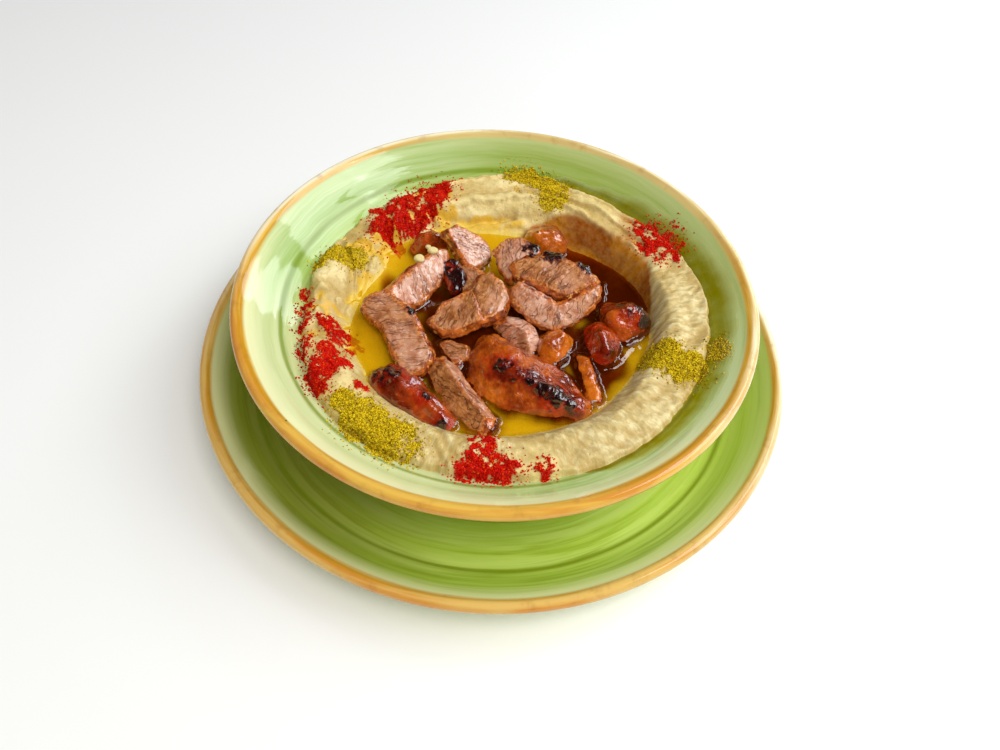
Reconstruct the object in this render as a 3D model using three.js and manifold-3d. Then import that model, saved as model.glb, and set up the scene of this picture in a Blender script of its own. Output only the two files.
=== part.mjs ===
// A bowl of hummus with warm sliced meat, standing on its matching underplate.
// Millimetres, +Z up. The origin is the middle of the plate's foot, on the surface it stands on.
// The plate carries the bowl, the bowl holds a ring of hummus, and the well of the ring
// holds a pool of oil with the pieces of meat standing in it.

import * as THREE from 'three';
import { mergeVertices } from 'three/addons/utils/BufferGeometryUtils.js';
import Module from 'manifold-3d';

const wasm = await Module();
wasm.setup();

// ---- Driving dimensions ----

const GAP = 0.35;               // clearance between pieces that touch
const AROUND = 72;              // facets round the bowl and the hummus
const PLATE_AROUND = 72;        // facets round the plate

// A dish is a flat floor that sweeps up into a straight sloping wall with a rolled lip.
const BOWL = {
  radius: 100,                  // outer radius over the lip
  lipHeight: 50.1,              // height of the middle of the rolled lip
  floor: 13.6,                  // height of the floor, before the sweep
  sweepRadius: 48,              // where the floor turns up into the wall
  sweepWidth: 12,               // how softly it turns
  slope: 0.78,                  // rise of the wall for each millimetre outwards
  thickness: 4.5,
  footRadius: 34,
  footWidth: 6,
  footBottom: 7.5,
  stations: [32, 42, 48, 54, 62, 73, 85],
};

const PLATE = {
  radius: 117.5,
  lipHeight: 19.8,
  floor: 7,
  sweepRadius: 98,
  sweepWidth: 5,
  slope: 0.9,
  thickness: 4.5,
  footRadius: 63,
  footWidth: 6,
  footBottom: 0,
  stations: [62, 91, 97, 103],
};

const HUMMUS = {
  floor: 28.4,                  // floor of the well, under the oil
  slopeStart: 8,                // how far inside the oil's edge the well's side starts
  crestRadius: 67.5,
  crestHeight: 42,
  edgeRadius: 80.2,             // where the ring of hummus meets the wall of the bowl
  edgeShift: 3,                 // the ring is pushed this far towards +X
  edgeThickness: 1.5,
  fullSide: 8,                  // direction, in degrees, of the fullest and steepest side
  spiceRelief: 0.5,
};

const OIL_LEVEL = 32.6;
const POOL_REACH = 64;          // beyond the oil's edge all round
const SMALLEST_POOL = 150;      // cubic millimetres: smaller puddles are left out

const LIP_STEPS = 4;            // facets round a rolled lip
const MEAT_DETAIL = 0.12;       // meat's facets are merged where that moves them less than this

const DEGREE = Math.PI / 180;

// ---- Small helpers ----

function clamp01(value) {
  return Math.min(1, Math.max(0, value));
}

function smooth(value) {
  const t = clamp01(value);
  return t * t * (3 - 2 * t);
}

// 1 in the middle of a bump on a circle, falling to 0 at `width` degrees either side.
function angularBump(angle, middle, width) {
  const away = Math.abs(((angle / DEGREE - middle + 540) % 360) - 180);
  return smooth(1 - away / width);
}

// 1 in the middle of an oval patch, falling to 0 at its outline.
function patch(x, y, spot) {
  const turn = (spot.turn ?? 0) * DEGREE;
  const dx = x - spot.at[0];
  const dy = y - spot.at[1];
  const along = (dx * Math.cos(turn) + dy * Math.sin(turn)) / spot.size[0];
  const across = (dy * Math.cos(turn) - dx * Math.sin(turn)) / spot.size[1];
  return smooth(1.4 * (1 - Math.hypot(along, across)));
}

// A closed skin over rings of points, with one point at each end.
function skin(start, rings, end) {
  const around = rings[0].length;
  const points = [start, ...rings.flat(), end];
  const index = [];
  const at = (ring, step) => 1 + ring * around + (step % around);
  for (let step = 0; step < around; step += 1) {
    index.push(0, at(0, step + 1), at(0, step));
    for (let ring = 0; ring + 1 < rings.length; ring += 1) {
      index.push(at(ring, step), at(ring, step + 1), at(ring + 1, step + 1));
      index.push(at(ring, step), at(ring + 1, step + 1), at(ring + 1, step));
    }
    index.push(points.length - 1, at(rings.length - 1, step), at(rings.length - 1, step + 1));
  }
  const positions = points.flatMap((point) => point.toArray());
  const geometry = new THREE.BufferGeometry();
  geometry.setAttribute('position', new THREE.Float32BufferAttribute(positions, 3));
  geometry.setIndex(index);
  return geometry;
}

function toSolid(geometry) {
  geometry.deleteAttribute('normal');
  geometry.deleteAttribute('uv');
  const merged = mergeVertices(geometry, 1e-4);
  return new wasm.Manifold(new wasm.Mesh({
    numProp: 3,
    vertProperties: merged.attributes.position.array,
    triVerts: Uint32Array.from(merged.index.array),
  }));
}

function toGeometry(solid) {
  const mesh = solid.getMesh();
  const geometry = new THREE.BufferGeometry();
  geometry.setAttribute('position', new THREE.BufferAttribute(mesh.vertProperties, 3));
  geometry.setIndex(new THREE.BufferAttribute(mesh.triVerts, 1));
  geometry.computeVertexNormals();
  return geometry;
}

// The separate lumps of a solid, the largest first.
function lumps(solid) {
  return solid.decompose().sort((a, b) => b.volume() - a.volume());
}

// ---- The two dishes ----

function insideHeight(dish, radius) {
  const out = radius - dish.sweepRadius;
  return dish.floor + dish.slope * (out + Math.hypot(out, dish.sweepWidth)) / 2;
}

function insideSlope(dish, radius) {
  const out = radius - dish.sweepRadius;
  return dish.slope * (1 + out / Math.hypot(out, dish.sweepWidth)) / 2;
}

// The point on the dish's underside that is one thickness straight through from the inside.
function outsidePoint(dish, radius) {
  const slope = insideSlope(dish, radius);
  const scale = dish.thickness / Math.hypot(1, slope);
  return new THREE.Vector2(radius + slope * scale, insideHeight(dish, radius) - scale);
}

function dishProfile(dish) {
  const half = dish.thickness / 2;
  const lipMiddle = new THREE.Vector2(dish.radius - half, dish.lipHeight);
  const tilt = Math.atan(dish.slope);
  const profile = [new THREE.Vector2(0, insideHeight(dish, 0))];
  for (const radius of dish.stations) {
    profile.push(new THREE.Vector2(radius, insideHeight(dish, radius)));
  }
  for (let step = 0; step <= LIP_STEPS; step += 1) {
    const angle = tilt + Math.PI / 2 - Math.PI * step / LIP_STEPS;
    profile.push(new THREE.Vector2(
      lipMiddle.x + half * Math.cos(angle),
      lipMiddle.y + half * Math.sin(angle),
    ));
  }
  const footOuter = dish.footRadius + dish.footWidth / 2;
  const footInner = dish.footRadius - dish.footWidth / 2;
  const underside = outsidePoint(dish, 0).y;
  for (const radius of dish.stations.filter((r) => r > footOuter).reverse()) {
    profile.push(outsidePoint(dish, radius));
  }
  const joint = outsidePoint(dish, footOuter);
  profile.push(joint);
  profile.push(new THREE.Vector2(footOuter - 0.8, dish.footBottom));
  profile.push(new THREE.Vector2(footInner + 0.6, dish.footBottom));
  profile.push(new THREE.Vector2(footInner, underside));
  profile.push(new THREE.Vector2(0, underside));
  return profile.reverse();
}

function dishGeometry(dish, around) {
  const geometry = new THREE.LatheGeometry(dishProfile(dish), around);
  geometry.rotateX(Math.PI / 2);
  return geometry;
}

// ---- Hummus ----

// Where powdered spice lies on the ring: red paprika and green-yellow herbs.
const SPICE_SPOTS = [
  { at: [-36, 62], size: [19, 10], turn: 35 },
  { at: [64, 45], size: [15, 9], turn: -48 },
  { at: [-66, -22], size: [10, 24], turn: 0 },
  { at: [-54, -26], size: [9, 9] },
  { at: [-2, -73], size: [20, 8], turn: 2 },
  { at: [22, -72], size: [5, 5] },
  { at: [12, 74], size: [16, 11], turn: -30 },
  { at: [-62, 28], size: [13, 7], turn: 45 },
  { at: [70, -24], size: [16, 10], turn: -35 },
  { at: [-42, -56], size: [22, 12], turn: -28 },
];

// Lobes left by the spoon on the left-hand side of the ring.
const LOBES = [
  { at: [-68, 10], size: [11, 20], turn: 5, height: 1.8 },
  { at: [-55, 22], size: [8, 18], turn: -28, height: 1.7 },
  { at: [-45, 50], size: [15, 9], turn: 38, height: 1.6 },
  { at: [-60, -36], size: [10, 20], turn: 30, height: 1.4 },
  { at: [-20, 66], size: [16, 7], turn: 12, height: 1.5 },
  { at: [68, 2], size: [9, 30], turn: 0, height: 2.2 },
  { at: [40, 58], size: [22, 8], turn: -38, height: 1.4 },
  { at: [52, -46], size: [9, 26], turn: -40, height: 1.2 },
];

function edgeRadius(angle) {
  return HUMMUS.edgeRadius + HUMMUS.edgeShift * Math.cos(angle + 8 * DEGREE)
    + 0.9 * Math.sin(5 * angle + 0.6) + 0.7 * Math.sin(3 * angle + 2.4);
}

// Radius of the oil's edge. The side of the well is gentle at the back, where the spoon left it.
function poolRadius(angle) {
  return 59.5 - 10 * angularBump(angle, 80, 62) - 5 * angularBump(angle, 150, 50)
    + 4 * angularBump(angle, HUMMUS.fullSide, 45) + 0.6 * Math.sin(6 * angle);
}

// The spoon's groove: it runs in from the back of the ring and round to the left.
function groove(radius, angle) {
  const along = ((angle / DEGREE + 360) % 360);
  const back = angularBump(angle, 96, 34) * Math.exp(-(((radius - 58.5) / 2.2) ** 2));
  const spiral = 63.5 - 0.05 * (along - 150);
  const left = angularBump(angle, 168, 34) * Math.exp(-(((radius - spiral) / 2.4) ** 2));
  return 1.6 * back + 1.9 * left;
}

function hummusTop(radius, angle) {
  const x = radius * Math.cos(angle);
  const y = radius * Math.sin(angle);
  const edge = edgeRadius(angle);
  const crest = HUMMUS.crestRadius - 1.5 * angularBump(angle, 270, 80);
  const full = angularBump(angle, HUMMUS.fullSide, 60);
  const start = poolRadius(angle) - HUMMUS.slopeStart * (1 - 0.5 * full);
  const edgeHeight = insideHeight(BOWL, edge) + GAP + HUMMUS.edgeThickness * (1 + full);
  const crestHeight = HUMMUS.crestHeight + 0.6 * Math.sin(2 * angle - 0.6) + 0.4 * Math.sin(7 * angle);
  if (radius <= start) {
    return HUMMUS.floor;
  }
  let height;
  if (radius <= crest) {
    height = HUMMUS.floor + (crestHeight - HUMMUS.floor) * smooth((radius - start) / (crest - start));
  } else {
    const out = (radius - crest) / (edge - crest);
    height = crestHeight + (edgeHeight - crestHeight) * out ** 2.2;
  }
  const onRing = smooth((radius - start) / 14) * smooth((edge - radius) / 2.5);
  for (const lobe of LOBES) {
    height += onRing * lobe.height * patch(x, y, lobe);
  }
  let spice = 0;
  for (const spot of SPICE_SPOTS) {
    spice = Math.max(spice, patch(x, y, spot));
  }
  return height - onRing * groove(radius, angle) + onRing * HUMMUS.spiceRelief * smooth(3 * spice);
}

function hummusGeometry(raise = 0) {
  const topSteps = [0.3, 0.62, 0.8, 0.87, 0.92, 0.96, 1];
  const outerSteps = [0.2, 0.45, 0.7, 0.88, 1];
  const top = (radius, angle) => new THREE.Vector3(
    radius * Math.cos(angle),
    radius * Math.sin(angle),
    hummusTop(radius, angle) + raise,
  );
  const bottom = (radius, angle) => new THREE.Vector3(
    radius * Math.cos(angle),
    radius * Math.sin(angle),
    insideHeight(BOWL, radius) + GAP + raise,
  );
  const angles = Array.from({ length: AROUND }, (_, step) => 2 * Math.PI * step / AROUND);
  const rings = [];
  for (const step of topSteps) {
    rings.push(angles.map((angle) => top(HUMMUS.crestRadius * step, angle)));
  }
  for (const step of outerSteps) {
    rings.push(angles.map((angle) => {
      const edge = edgeRadius(angle);
      return top(HUMMUS.crestRadius + (edge - HUMMUS.crestRadius) * step, angle);
    }));
  }
  rings.push(angles.map((angle) => bottom(edgeRadius(angle), angle)));
  for (const radius of BOWL.stations.filter((r) => r < HUMMUS.crestRadius).reverse()) {
    rings.push(angles.map((angle) => bottom(radius, angle)));
  }
  return skin(top(0, 0), rings.map((ring) => ring.slice().reverse()), bottom(0, 0));
}

// ---- Meat ----

// A piece is one block, or two that fold against each other, with crags of crust as small
// blocks. `face` holds the corners of a block's upper side, [x, y, height], in order round it.
// `thick` is the depth behind that side, `crest` holds points of a ridge that stands above it,
// and `round` softens the edges.
const MEAT = [
  { name: 'slice_right_top', color: 0xc89478, blocks: [
    { thick: 5, face: [[4.5, 16.5, 48], [8, 19, 49], [24, 21.5, 50], [31, 17, 49], [40.5, 11, 47],
      [33, 6.5, 45], [27, 4, 44], [20.5, 7, 44.5], [7, 12, 46]] },
    { thick: 5, face: [[8, 19, 48.5], [13, 23, 48.5], [18, 21, 49.5], [14, 17, 49]] },
    { thick: 5, face: [[17, 24, 48.5], [25, 24, 49], [27, 19, 49], [18, 19, 49]] },
    { thick: 4.5, face: [[31, 19.5, 48.5], [36, 17.5, 48], [37, 12, 47.5], [30, 14, 48.5]] },
  ] },
  { name: 'slice_right_front', color: 0xc99a80, blocks: [
    { thick: 7, face: [[5, 4, 46], [8, 6, 48], [14, 4.5, 46.5], [23.5, 0, 43], [23.5, -7.5, 36.5],
      [18, -6.5, 36.5], [11.5, -4, 38.5], [6.5, 0, 42]] },
    { thick: 6, face: [[23.5, 0, 43], [27, 3, 43.5], [40.5, 9.5, 46], [41, 5.5, 43], [37, 0.5, 40],
      [30, -5, 37], [23.5, -7.5, 36.5]] },
  ] },
  { name: 'slice_middle', color: 0xb98870, blocks: [
    { thick: 5, face: [[-26.5, -9.5, 39.5], [-20, 0, 42.5], [-10, 4.5, 44.5], [-4.5, -9, 42],
      [-12.5, -13, 40], [-21, -14, 39]] },
    { thick: 5.5, face: [[-10, 4.5, 44.5], [-7.5, 10.5, 46.5], [-3, 11.5, 47.5], [2.5, 8, 46],
      [6, 2, 43.5], [3, -4.5, 41], [-4.5, -9, 41]] },
  ] },
  { name: 'slice_right_flap', color: 0xc98d66, blocks: [
    { thick: 4, face: [[-2.5, 28, 45.5], [2, 32, 47.5], [9, 31.5, 48.5], [15.5, 26.5, 48.5],
      [13.5, 20, 47], [5, 19, 46]] },
    { thick: 4, face: [[-2.5, 28, 45.5], [5.5, 21, 46.5], [7.5, 15, 45], [4.5, 11.5, 43], [0, 17, 43.5]] },
  ] },
  { name: 'slice_back', color: 0xc9988c, blocks: [
    { thick: 5, face: [[-22.5, 34.5, 48.5], [-19, 38.5, 47], [-13.5, 39.5, 44], [-8, 39.5, 40.5],
      [-4, 35, 37.5], [-3.5, 31, 36.5], [-6, 26, 37], [-9.5, 22, 38.5], [-13.5, 22.5, 41]] },
  ] },
  { name: 'wedge_front', color: 0x8f3d12, blocks: [
    { thick: 5, round: 1.6, face: [[-5.5, -12, 37], [-1, -11, 37], [5, -15.5, 36], [29, -28, 34],
      [37.5, -40.5, 34], [37, -44, 33.5], [33, -47, 33.5], [22.5, -46, 33], [2, -45, 33],
      [-4, -40.5, 33], [-10.5, -32.5, 33], [-8, -20, 35]],
    crest: [[-1.5, -16.5, 40.5], [3, -31.5, 42.5], [11.5, -36.5, 42.5], [20, -40, 41.5],
      [27.5, -44, 39.5], [32.5, -45, 37]] },
  ] },
  { name: 'strip_left', color: 0xc07c62, blocks: [
    { thick: 6, face: [[-53, -4, 39.5], [-50.5, 1, 41], [-43.5, 4, 42.5], [-38.5, -1.5, 42],
      [-33, -6, 42], [-42, -14, 38.5], [-50.5, -8, 39]] },
    { thick: 6, face: [[-43, -14, 38.5], [-37.5, -1.5, 42], [-33, -6, 42], [-29.5, -11.5, 41],
      [-23.5, -24, 39], [-24, -28.5, 38], [-26.5, -32.5, 37], [-30.5, -34, 36], [-34.5, -31.5, 36]] },
  ] },
  { name: 'slice_left_upper', color: 0xcbaaa6, blocks: [
    { thick: 5.5, face: [[-45, 3.5, 40.5], [-33, 17, 45], [-26, 23.5, 46.5], [-21, 25, 45.5],
      [-20.5, 20.5, 42.5], [-23.5, 12, 37.5], [-31, 3, 34.5], [-38, 0.5, 36]] },
  ] },
  { name: 'piece_charred', color: 0x2a1a12, blocks: [
    { thick: 6, face: [[-22.5, 21, 42.5], [-18, 22, 43], [-13.5, 16, 42.5], [-12.5, 9, 40],
      [-17, 7.5, 39], [-20.5, 12, 40]] },
  ] },
  { name: 'slice_behind_middle', color: 0xb4744c, blocks: [
    { thick: 6, face: [[-15, 21, 41], [-11, 22, 42], [-7, 19, 42], [-6, 12.5, 42], [-9, 6, 41],
      [-14, 8, 40]] },
  ] },
  { name: 'slice_front', color: 0x94601c, blocks: [
    { thick: 5, face: [[-24.5, -29.5, 33.5], [-24, -24, 34.5], [-20, -23.5, 36], [-16, -27.5, 37],
      [-6.5, -42, 36.5], [2, -51, 35.5], [1.5, -54.5, 34], [-1.5, -57, 33.5], [-7, -56.5, 32.5],
      [-15.5, -46.5, 32.5], [-21, -39.5, 33]],
    crest: [[-18, -29, 38.5], [-12, -39, 38.5], [-1.5, -51.5, 37]] },
  ] },
  { name: 'strip_front_left', color: 0x8d3616, blocks: [
    { thick: 5, round: 1.6, face: [[-46.5, -37.5, 34.5], [-44, -31.5, 36], [-39.5, -29.5, 37.5],
      [-35, -30, 37], [-26, -39.5, 36], [-15, -48, 35], [-12, -52, 34.5], [-13.5, -56, 33.5],
      [-19, -55.5, 33.5], [-35, -49.5, 34], [-42.5, -44.5, 34]],
    crest: [[-40, -35, 40], [-30.5, -42, 39.5], [-21, -49, 38], [-16, -52.5, 36.5]] },
  ] },
  { name: 'lump_right_back', color: 0x97401c, blocks: [
    { thick: 6, round: 2, face: [[43, 9, 36], [53, 8.5, 38.5], [60.5, 4, 37], [60, -0.5, 36],
      [56, -5, 34], [50, -9, 33.5], [44.5, -7, 33.5], [41.5, -0.5, 34]],
    crest: [[46, -1.5, 42], [51, 1, 43.5], [56.5, 0, 41.5]] },
  ] },
  { name: 'lump_right_front', color: 0x8c2c14, blocks: [
    { thick: 5, round: 2, face: [[36, -3, 35], [41, -2, 37], [46, -4.5, 37], [48, -10, 36],
      [47, -15, 34], [45.5, -21.5, 33], [41, -22.5, 33], [37, -19, 33], [35, -12, 33.5]],
    crest: [[40.5, -11, 41], [43, -17.5, 39]] },
  ] },
  { name: 'lump_back', color: 0x8d3a10, blocks: [
    { thick: 5, round: 2, face: [[-37, 34.5, 36.5], [-35.5, 40.5, 38], [-30.5, 43.5, 39],
      [-25, 42.5, 39], [-22, 38.5, 38.5], [-24, 33.5, 37.5]],
    crest: [[-32, 36, 42], [-27, 37, 42.5]] },
  ] },
  { name: 'lump_far', color: 0xb4600f, blocks: [
    { thick: 6, round: 2, face: [[11, 44.5, 37], [13, 50, 38.5], [18.5, 52, 39], [25, 51, 38.5],
      [28.5, 45.5, 37], [27, 38.5, 36], [16, 38, 36]],
    crest: [[15.5, 42, 42.5], [22.5, 43, 42.5]] },
  ] },
  { name: 'slice_under_middle', color: 0xa87a66, blocks: [
    { thick: 5, round: 1.5, face: [[0, -4.5, 36.5], [3.5, -1.5, 37.5], [10, -3, 38], [15, -7, 38],
      [17, -12.5, 36], [14.5, -18.5, 34.5], [8, -15.5, 35], [3, -11, 36]],
    crest: [[5, -8, 40], [11.5, -12, 39.5]] },
  ] },
  { name: 'lump_under_right', color: 0xb4642a, blocks: [
    { thick: 5, round: 2, face: [[15.5, -10.5, 35], [20.5, -7.5, 36.5], [26, -5.5, 37], [30, -9, 36],
      [30, -14.5, 34], [24, -23, 33.5], [19, -20.5, 34]],
    crest: [[20.5, -15.5, 39], [26, -12, 39.5]] },
  ] },
  { name: 'slice_small', color: 0xab8468, blocks: [
    { thick: 4.5, face: [[-21.5, -15, 33.5], [-16.5, -13.5, 35], [-10, -17, 35.5], [-9.5, -23, 34.5],
      [-14, -26, 34], [-19, -21.5, 33.5]] },
  ] },
  { name: 'sliver_right', color: 0xb8641c, blocks: [
    { thick: 3, round: 1, face: [[32.5, -17, 33.5], [36, -17.5, 33.8], [38.5, -28, 34], [40, -38, 33.5],
      [37, -39, 33.2], [34.5, -28, 34]] },
  ] },
];

const BEVEL = 1.1;              // the softness of a cut edge, unless a block gives its own

function meanOf(points) {
  const sum = points.reduce((total, point) => total.add(point), new THREE.Vector3());
  return sum.divideScalar(points.length);
}

// The direction that a ring of corners faces, upwards.
function facing(corners) {
  const normal = new THREE.Vector3();
  corners.forEach((corner, place) => {
    const next = corners[(place + 1) % corners.length];
    normal.add(corner.clone().cross(next));
  });
  normal.normalize();
  return normal.z < 0 ? normal.negate() : normal;
}

// One convex block, with its edges bevelled, larger all round by `grow`.
function blockSolid(block, grow) {
  const round = block.round ?? BEVEL;
  const face = block.face.map((corner) => new THREE.Vector3(...corner));
  const middle = meanOf(face);
  const normal = facing(face);
  const sideways = new THREE.Vector3(1, 0, 0).cross(normal).normalize();
  const reach = round + grow;
  const bevel = [normal, sideways, normal.clone().cross(sideways)]
    .flatMap((axis) => [axis.clone().multiplyScalar(reach), axis.clone().multiplyScalar(-reach)]);
  const inset = (point) => middle.clone().sub(point).setLength(round).add(point);
  const top = face.map((corner) => inset(corner).addScaledVector(normal, -round));
  const crest = (block.crest ?? []).map((point) => new THREE.Vector3(...point));
  const ridge = crest.map((point) => point.addScaledVector(normal, -round));
  const bottom = top.map((corner) => corner.clone().addScaledVector(normal, 2 * round - block.thick));
  const points = [...top, ...ridge, ...bottom]
    .flatMap((point) => bevel.map((offset) => point.clone().add(offset).toArray()));
  return wasm.Manifold.hull(points);
}

function pieceSolid(piece, grow = 0) {
  const blocks = piece.blocks.map((block) => blockSolid(block, grow));
  return wasm.Manifold.union(blocks).simplify(MEAT_DETAIL);
}

// ---- Assembly ----

const group = new THREE.Group();

function addNode(name, geometry, color, roughness, metalness = 0) {
  const material = new THREE.MeshStandardMaterial({ color, roughness, metalness });
  const mesh = new THREE.Mesh(geometry, material);
  mesh.name = name;
  group.add(mesh);
}

addNode('underplate', dishGeometry(PLATE, PLATE_AROUND), 0x8fae3a, 0.18);
addNode('bowl', dishGeometry(BOWL, AROUND), 0xb3c77c, 0.15);
addNode('hummus', hummusGeometry(), 0xeddfa0, 0.6);

// Upper pieces keep their whole form, and each piece below gives way to those above it
// and rests on the hummus.
const underMeat = toSolid(hummusGeometry(GAP));
const keepClear = [];
for (const cut of MEAT) {
  let solid = pieceSolid(cut).subtract(underMeat);
  for (const above of keepClear) {
    solid = solid.subtract(above);
  }
  solid = lumps(solid)[0];
  addNode(cut.name, toGeometry(solid), cut.color, 0.4);
  keepClear.push(pieceSolid(cut, GAP));
}

// The oil fills the well to one level, round the meat.
const depth = OIL_LEVEL - HUMMUS.floor;
const poolBlock = new THREE.CylinderGeometry(POOL_REACH, POOL_REACH, depth, AROUND);
poolBlock.rotateX(Math.PI / 2);
poolBlock.translate(0, 0, OIL_LEVEL - depth / 2);
let oil = toSolid(poolBlock).subtract(underMeat);
for (const piece of keepClear) {
  oil = oil.subtract(piece);
}
lumps(oil).filter((pool) => pool.volume() > SMALLEST_POOL).forEach((pool, place) => {
  addNode(`oil_pool_${place + 1}`, toGeometry(pool), 0xc99a1e, 0.05);
});

export default group;
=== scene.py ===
# The looks of a bowl of hummus with oil and sliced meat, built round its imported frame.
# Metres, +Z up, origin at the middle of the underplate's foot.

import math

import bpy
import numpy as np
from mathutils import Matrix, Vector
from mathutils.bvhtree import BVHTree


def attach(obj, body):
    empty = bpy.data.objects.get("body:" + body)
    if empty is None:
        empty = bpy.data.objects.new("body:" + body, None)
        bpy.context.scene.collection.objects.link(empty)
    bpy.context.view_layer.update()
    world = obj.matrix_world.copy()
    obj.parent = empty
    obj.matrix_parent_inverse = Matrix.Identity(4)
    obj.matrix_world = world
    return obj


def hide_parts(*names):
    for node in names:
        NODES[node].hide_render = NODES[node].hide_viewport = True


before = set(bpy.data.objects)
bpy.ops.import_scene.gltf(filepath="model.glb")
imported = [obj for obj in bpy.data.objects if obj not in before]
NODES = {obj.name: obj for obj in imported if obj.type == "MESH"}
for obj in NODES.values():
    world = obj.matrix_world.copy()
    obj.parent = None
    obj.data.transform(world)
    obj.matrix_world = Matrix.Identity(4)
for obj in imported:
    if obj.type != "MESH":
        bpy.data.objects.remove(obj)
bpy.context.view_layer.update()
MM = 0.001

# ---- Sizes shared with the frame, in millimetres ----

BOWL = dict(radius=100, lip_height=50.1, floor=13.6, sweep_radius=48, sweep_width=12, slope=0.78,
            thickness=4.5, foot_radius=34, foot_width=6, foot_bottom=7.5)
PLATE = dict(radius=117.5, lip_height=19.8, floor=7, sweep_radius=98, sweep_width=5, slope=0.9,
             thickness=4.5, foot_radius=63, foot_width=6, foot_bottom=0)
GAP = 0.35                  # between the hummus and the bowl's floor
OIL_LEVEL = 32.6
DOWN = Vector((0, 0, -1))

# ---- Small helpers ----

def smooth(value):
    """Rises softly from 0 to 1."""
    t = np.clip(value, 0.0, 1.0)
    return t * t * (3 - 2 * t)


def lattice_value(ix, iy, iz, seed):
    """A steady random value from 0 to 1 for each lattice point."""
    h = (ix * 374761393 + iy * 668265263 + iz * 2147483647 + seed * 974634777) & 0xFFFFFFFF
    h = ((h ^ (h >> 13)) * 1274126177) & 0xFFFFFFFF
    return ((h ^ (h >> 16)) & 0xFFFF) / 65535.0


def noise(points, size, seed):
    """Soft noise from -1 to 1 with features of the given size, at (n, 3) points."""
    p = np.asarray(points, float) / size
    base = np.floor(p).astype(np.int64)
    f = smooth(p - base)
    total = np.zeros(len(p))
    for corner in range(8):
        dx, dy, dz = corner & 1, corner >> 1 & 1, corner >> 2 & 1
        weight = ((f[:, 0] if dx else 1 - f[:, 0]) * (f[:, 1] if dy else 1 - f[:, 1])
                  * (f[:, 2] if dz else 1 - f[:, 2]))
        total += weight * lattice_value(base[:, 0] + dx, base[:, 1] + dy, base[:, 2] + dz, seed)
    return 2 * total - 1


def level(x, y):
    """Points at height 0, to draw noise at."""
    return np.stack([x, y, np.zeros_like(x)], 1)


def patch(x, y, spot):
    """1 in the middle of an oval spot (x, y, half length, half width, turn), 0 at its outline."""
    sx, sy, rx, ry, turn = spot
    c, s = math.cos(math.radians(turn)), math.sin(math.radians(turn))
    dx, dy = x - sx, y - sy
    return np.clip(1 - np.hypot((dx * c + dy * s) / rx, (dy * c - dx * s) / ry), 0, 1)


def patches(x, y, spots):
    """The highest of several spots at each point."""
    return np.max([patch(x, y, spot) for spot in spots], 0)


def line_distance(x, y, line):
    """Distance from points to a line of straight pieces."""
    away = np.full(len(x), np.inf)
    for (ax, ay), (bx, by) in zip(line[:-1], line[1:]):
        dx, dy = bx - ax, by - ay
        share = np.clip(((x - ax) * dx + (y - ay) * dy) / (dx * dx + dy * dy), 0, 1)
        away = np.minimum(away, np.hypot(x - ax - share * dx, y - ay - share * dy))
    return away


def vertices(mesh):
    """A mesh's points in millimetres."""
    return np.array([v.co for v in mesh.vertices]) / MM


def ray_tree(mesh):
    """A mesh made ready to be hit by rays, in metres."""
    return BVHTree.FromPolygons([v.co for v in mesh.vertices], [tuple(p.vertices) for p in mesh.polygons])


def add_mesh(name, points, faces, attributes=None):
    """A smooth-shaded object from points in millimetres, with float or vector attributes."""
    mesh = bpy.data.meshes.new(name)
    corners = (np.asarray(points) * MM).tolist()
    mesh.from_pydata(corners, [], faces if isinstance(faces, list) else faces.tolist())
    mesh.validate()
    mesh.update()
    mesh.shade_smooth()
    for key, values in (attributes or {}).items():
        values = np.asarray(values, np.float32)
        if values.ndim == 1:
            mesh.attributes.new(key, "FLOAT", "POINT").data.foreach_set("value", values)
        else:
            mesh.attributes.new(key, "FLOAT_VECTOR", "POINT").data.foreach_set("vector", values.ravel())
    thing = bpy.data.objects.new(name, mesh)
    bpy.context.scene.collection.objects.link(thing)
    return thing


def grid_faces(rows, columns, closed=True):
    """Quads between rows of points; unless told otherwise, each row closes on itself."""
    r, c = np.meshgrid(np.arange(rows - 1), np.arange(columns if closed else columns - 1), indexing="ij")
    a = (r * columns + c).ravel()
    b = (r * columns + (c + 1) % columns).ravel()
    return np.stack([a, b, b + columns, a + columns], 1)


def closed_rings(points, around, top, bottom):
    """Points and faces of a form made of rings, closed by a middle point above and one below."""
    rows = len(points) // around
    faces = [face[::-1] for face in grid_faces(rows, around).tolist()]
    high, low = len(points), len(points) + 1
    last = (rows - 1) * around
    faces += [[high, s, (s + 1) % around] for s in range(around)]
    faces += [[low, last + (s + 1) % around, last + s] for s in range(around)]
    return np.vstack([points, [0, 0, top], [0, 0, bottom]]), faces


# ---- Material helpers ----

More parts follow.
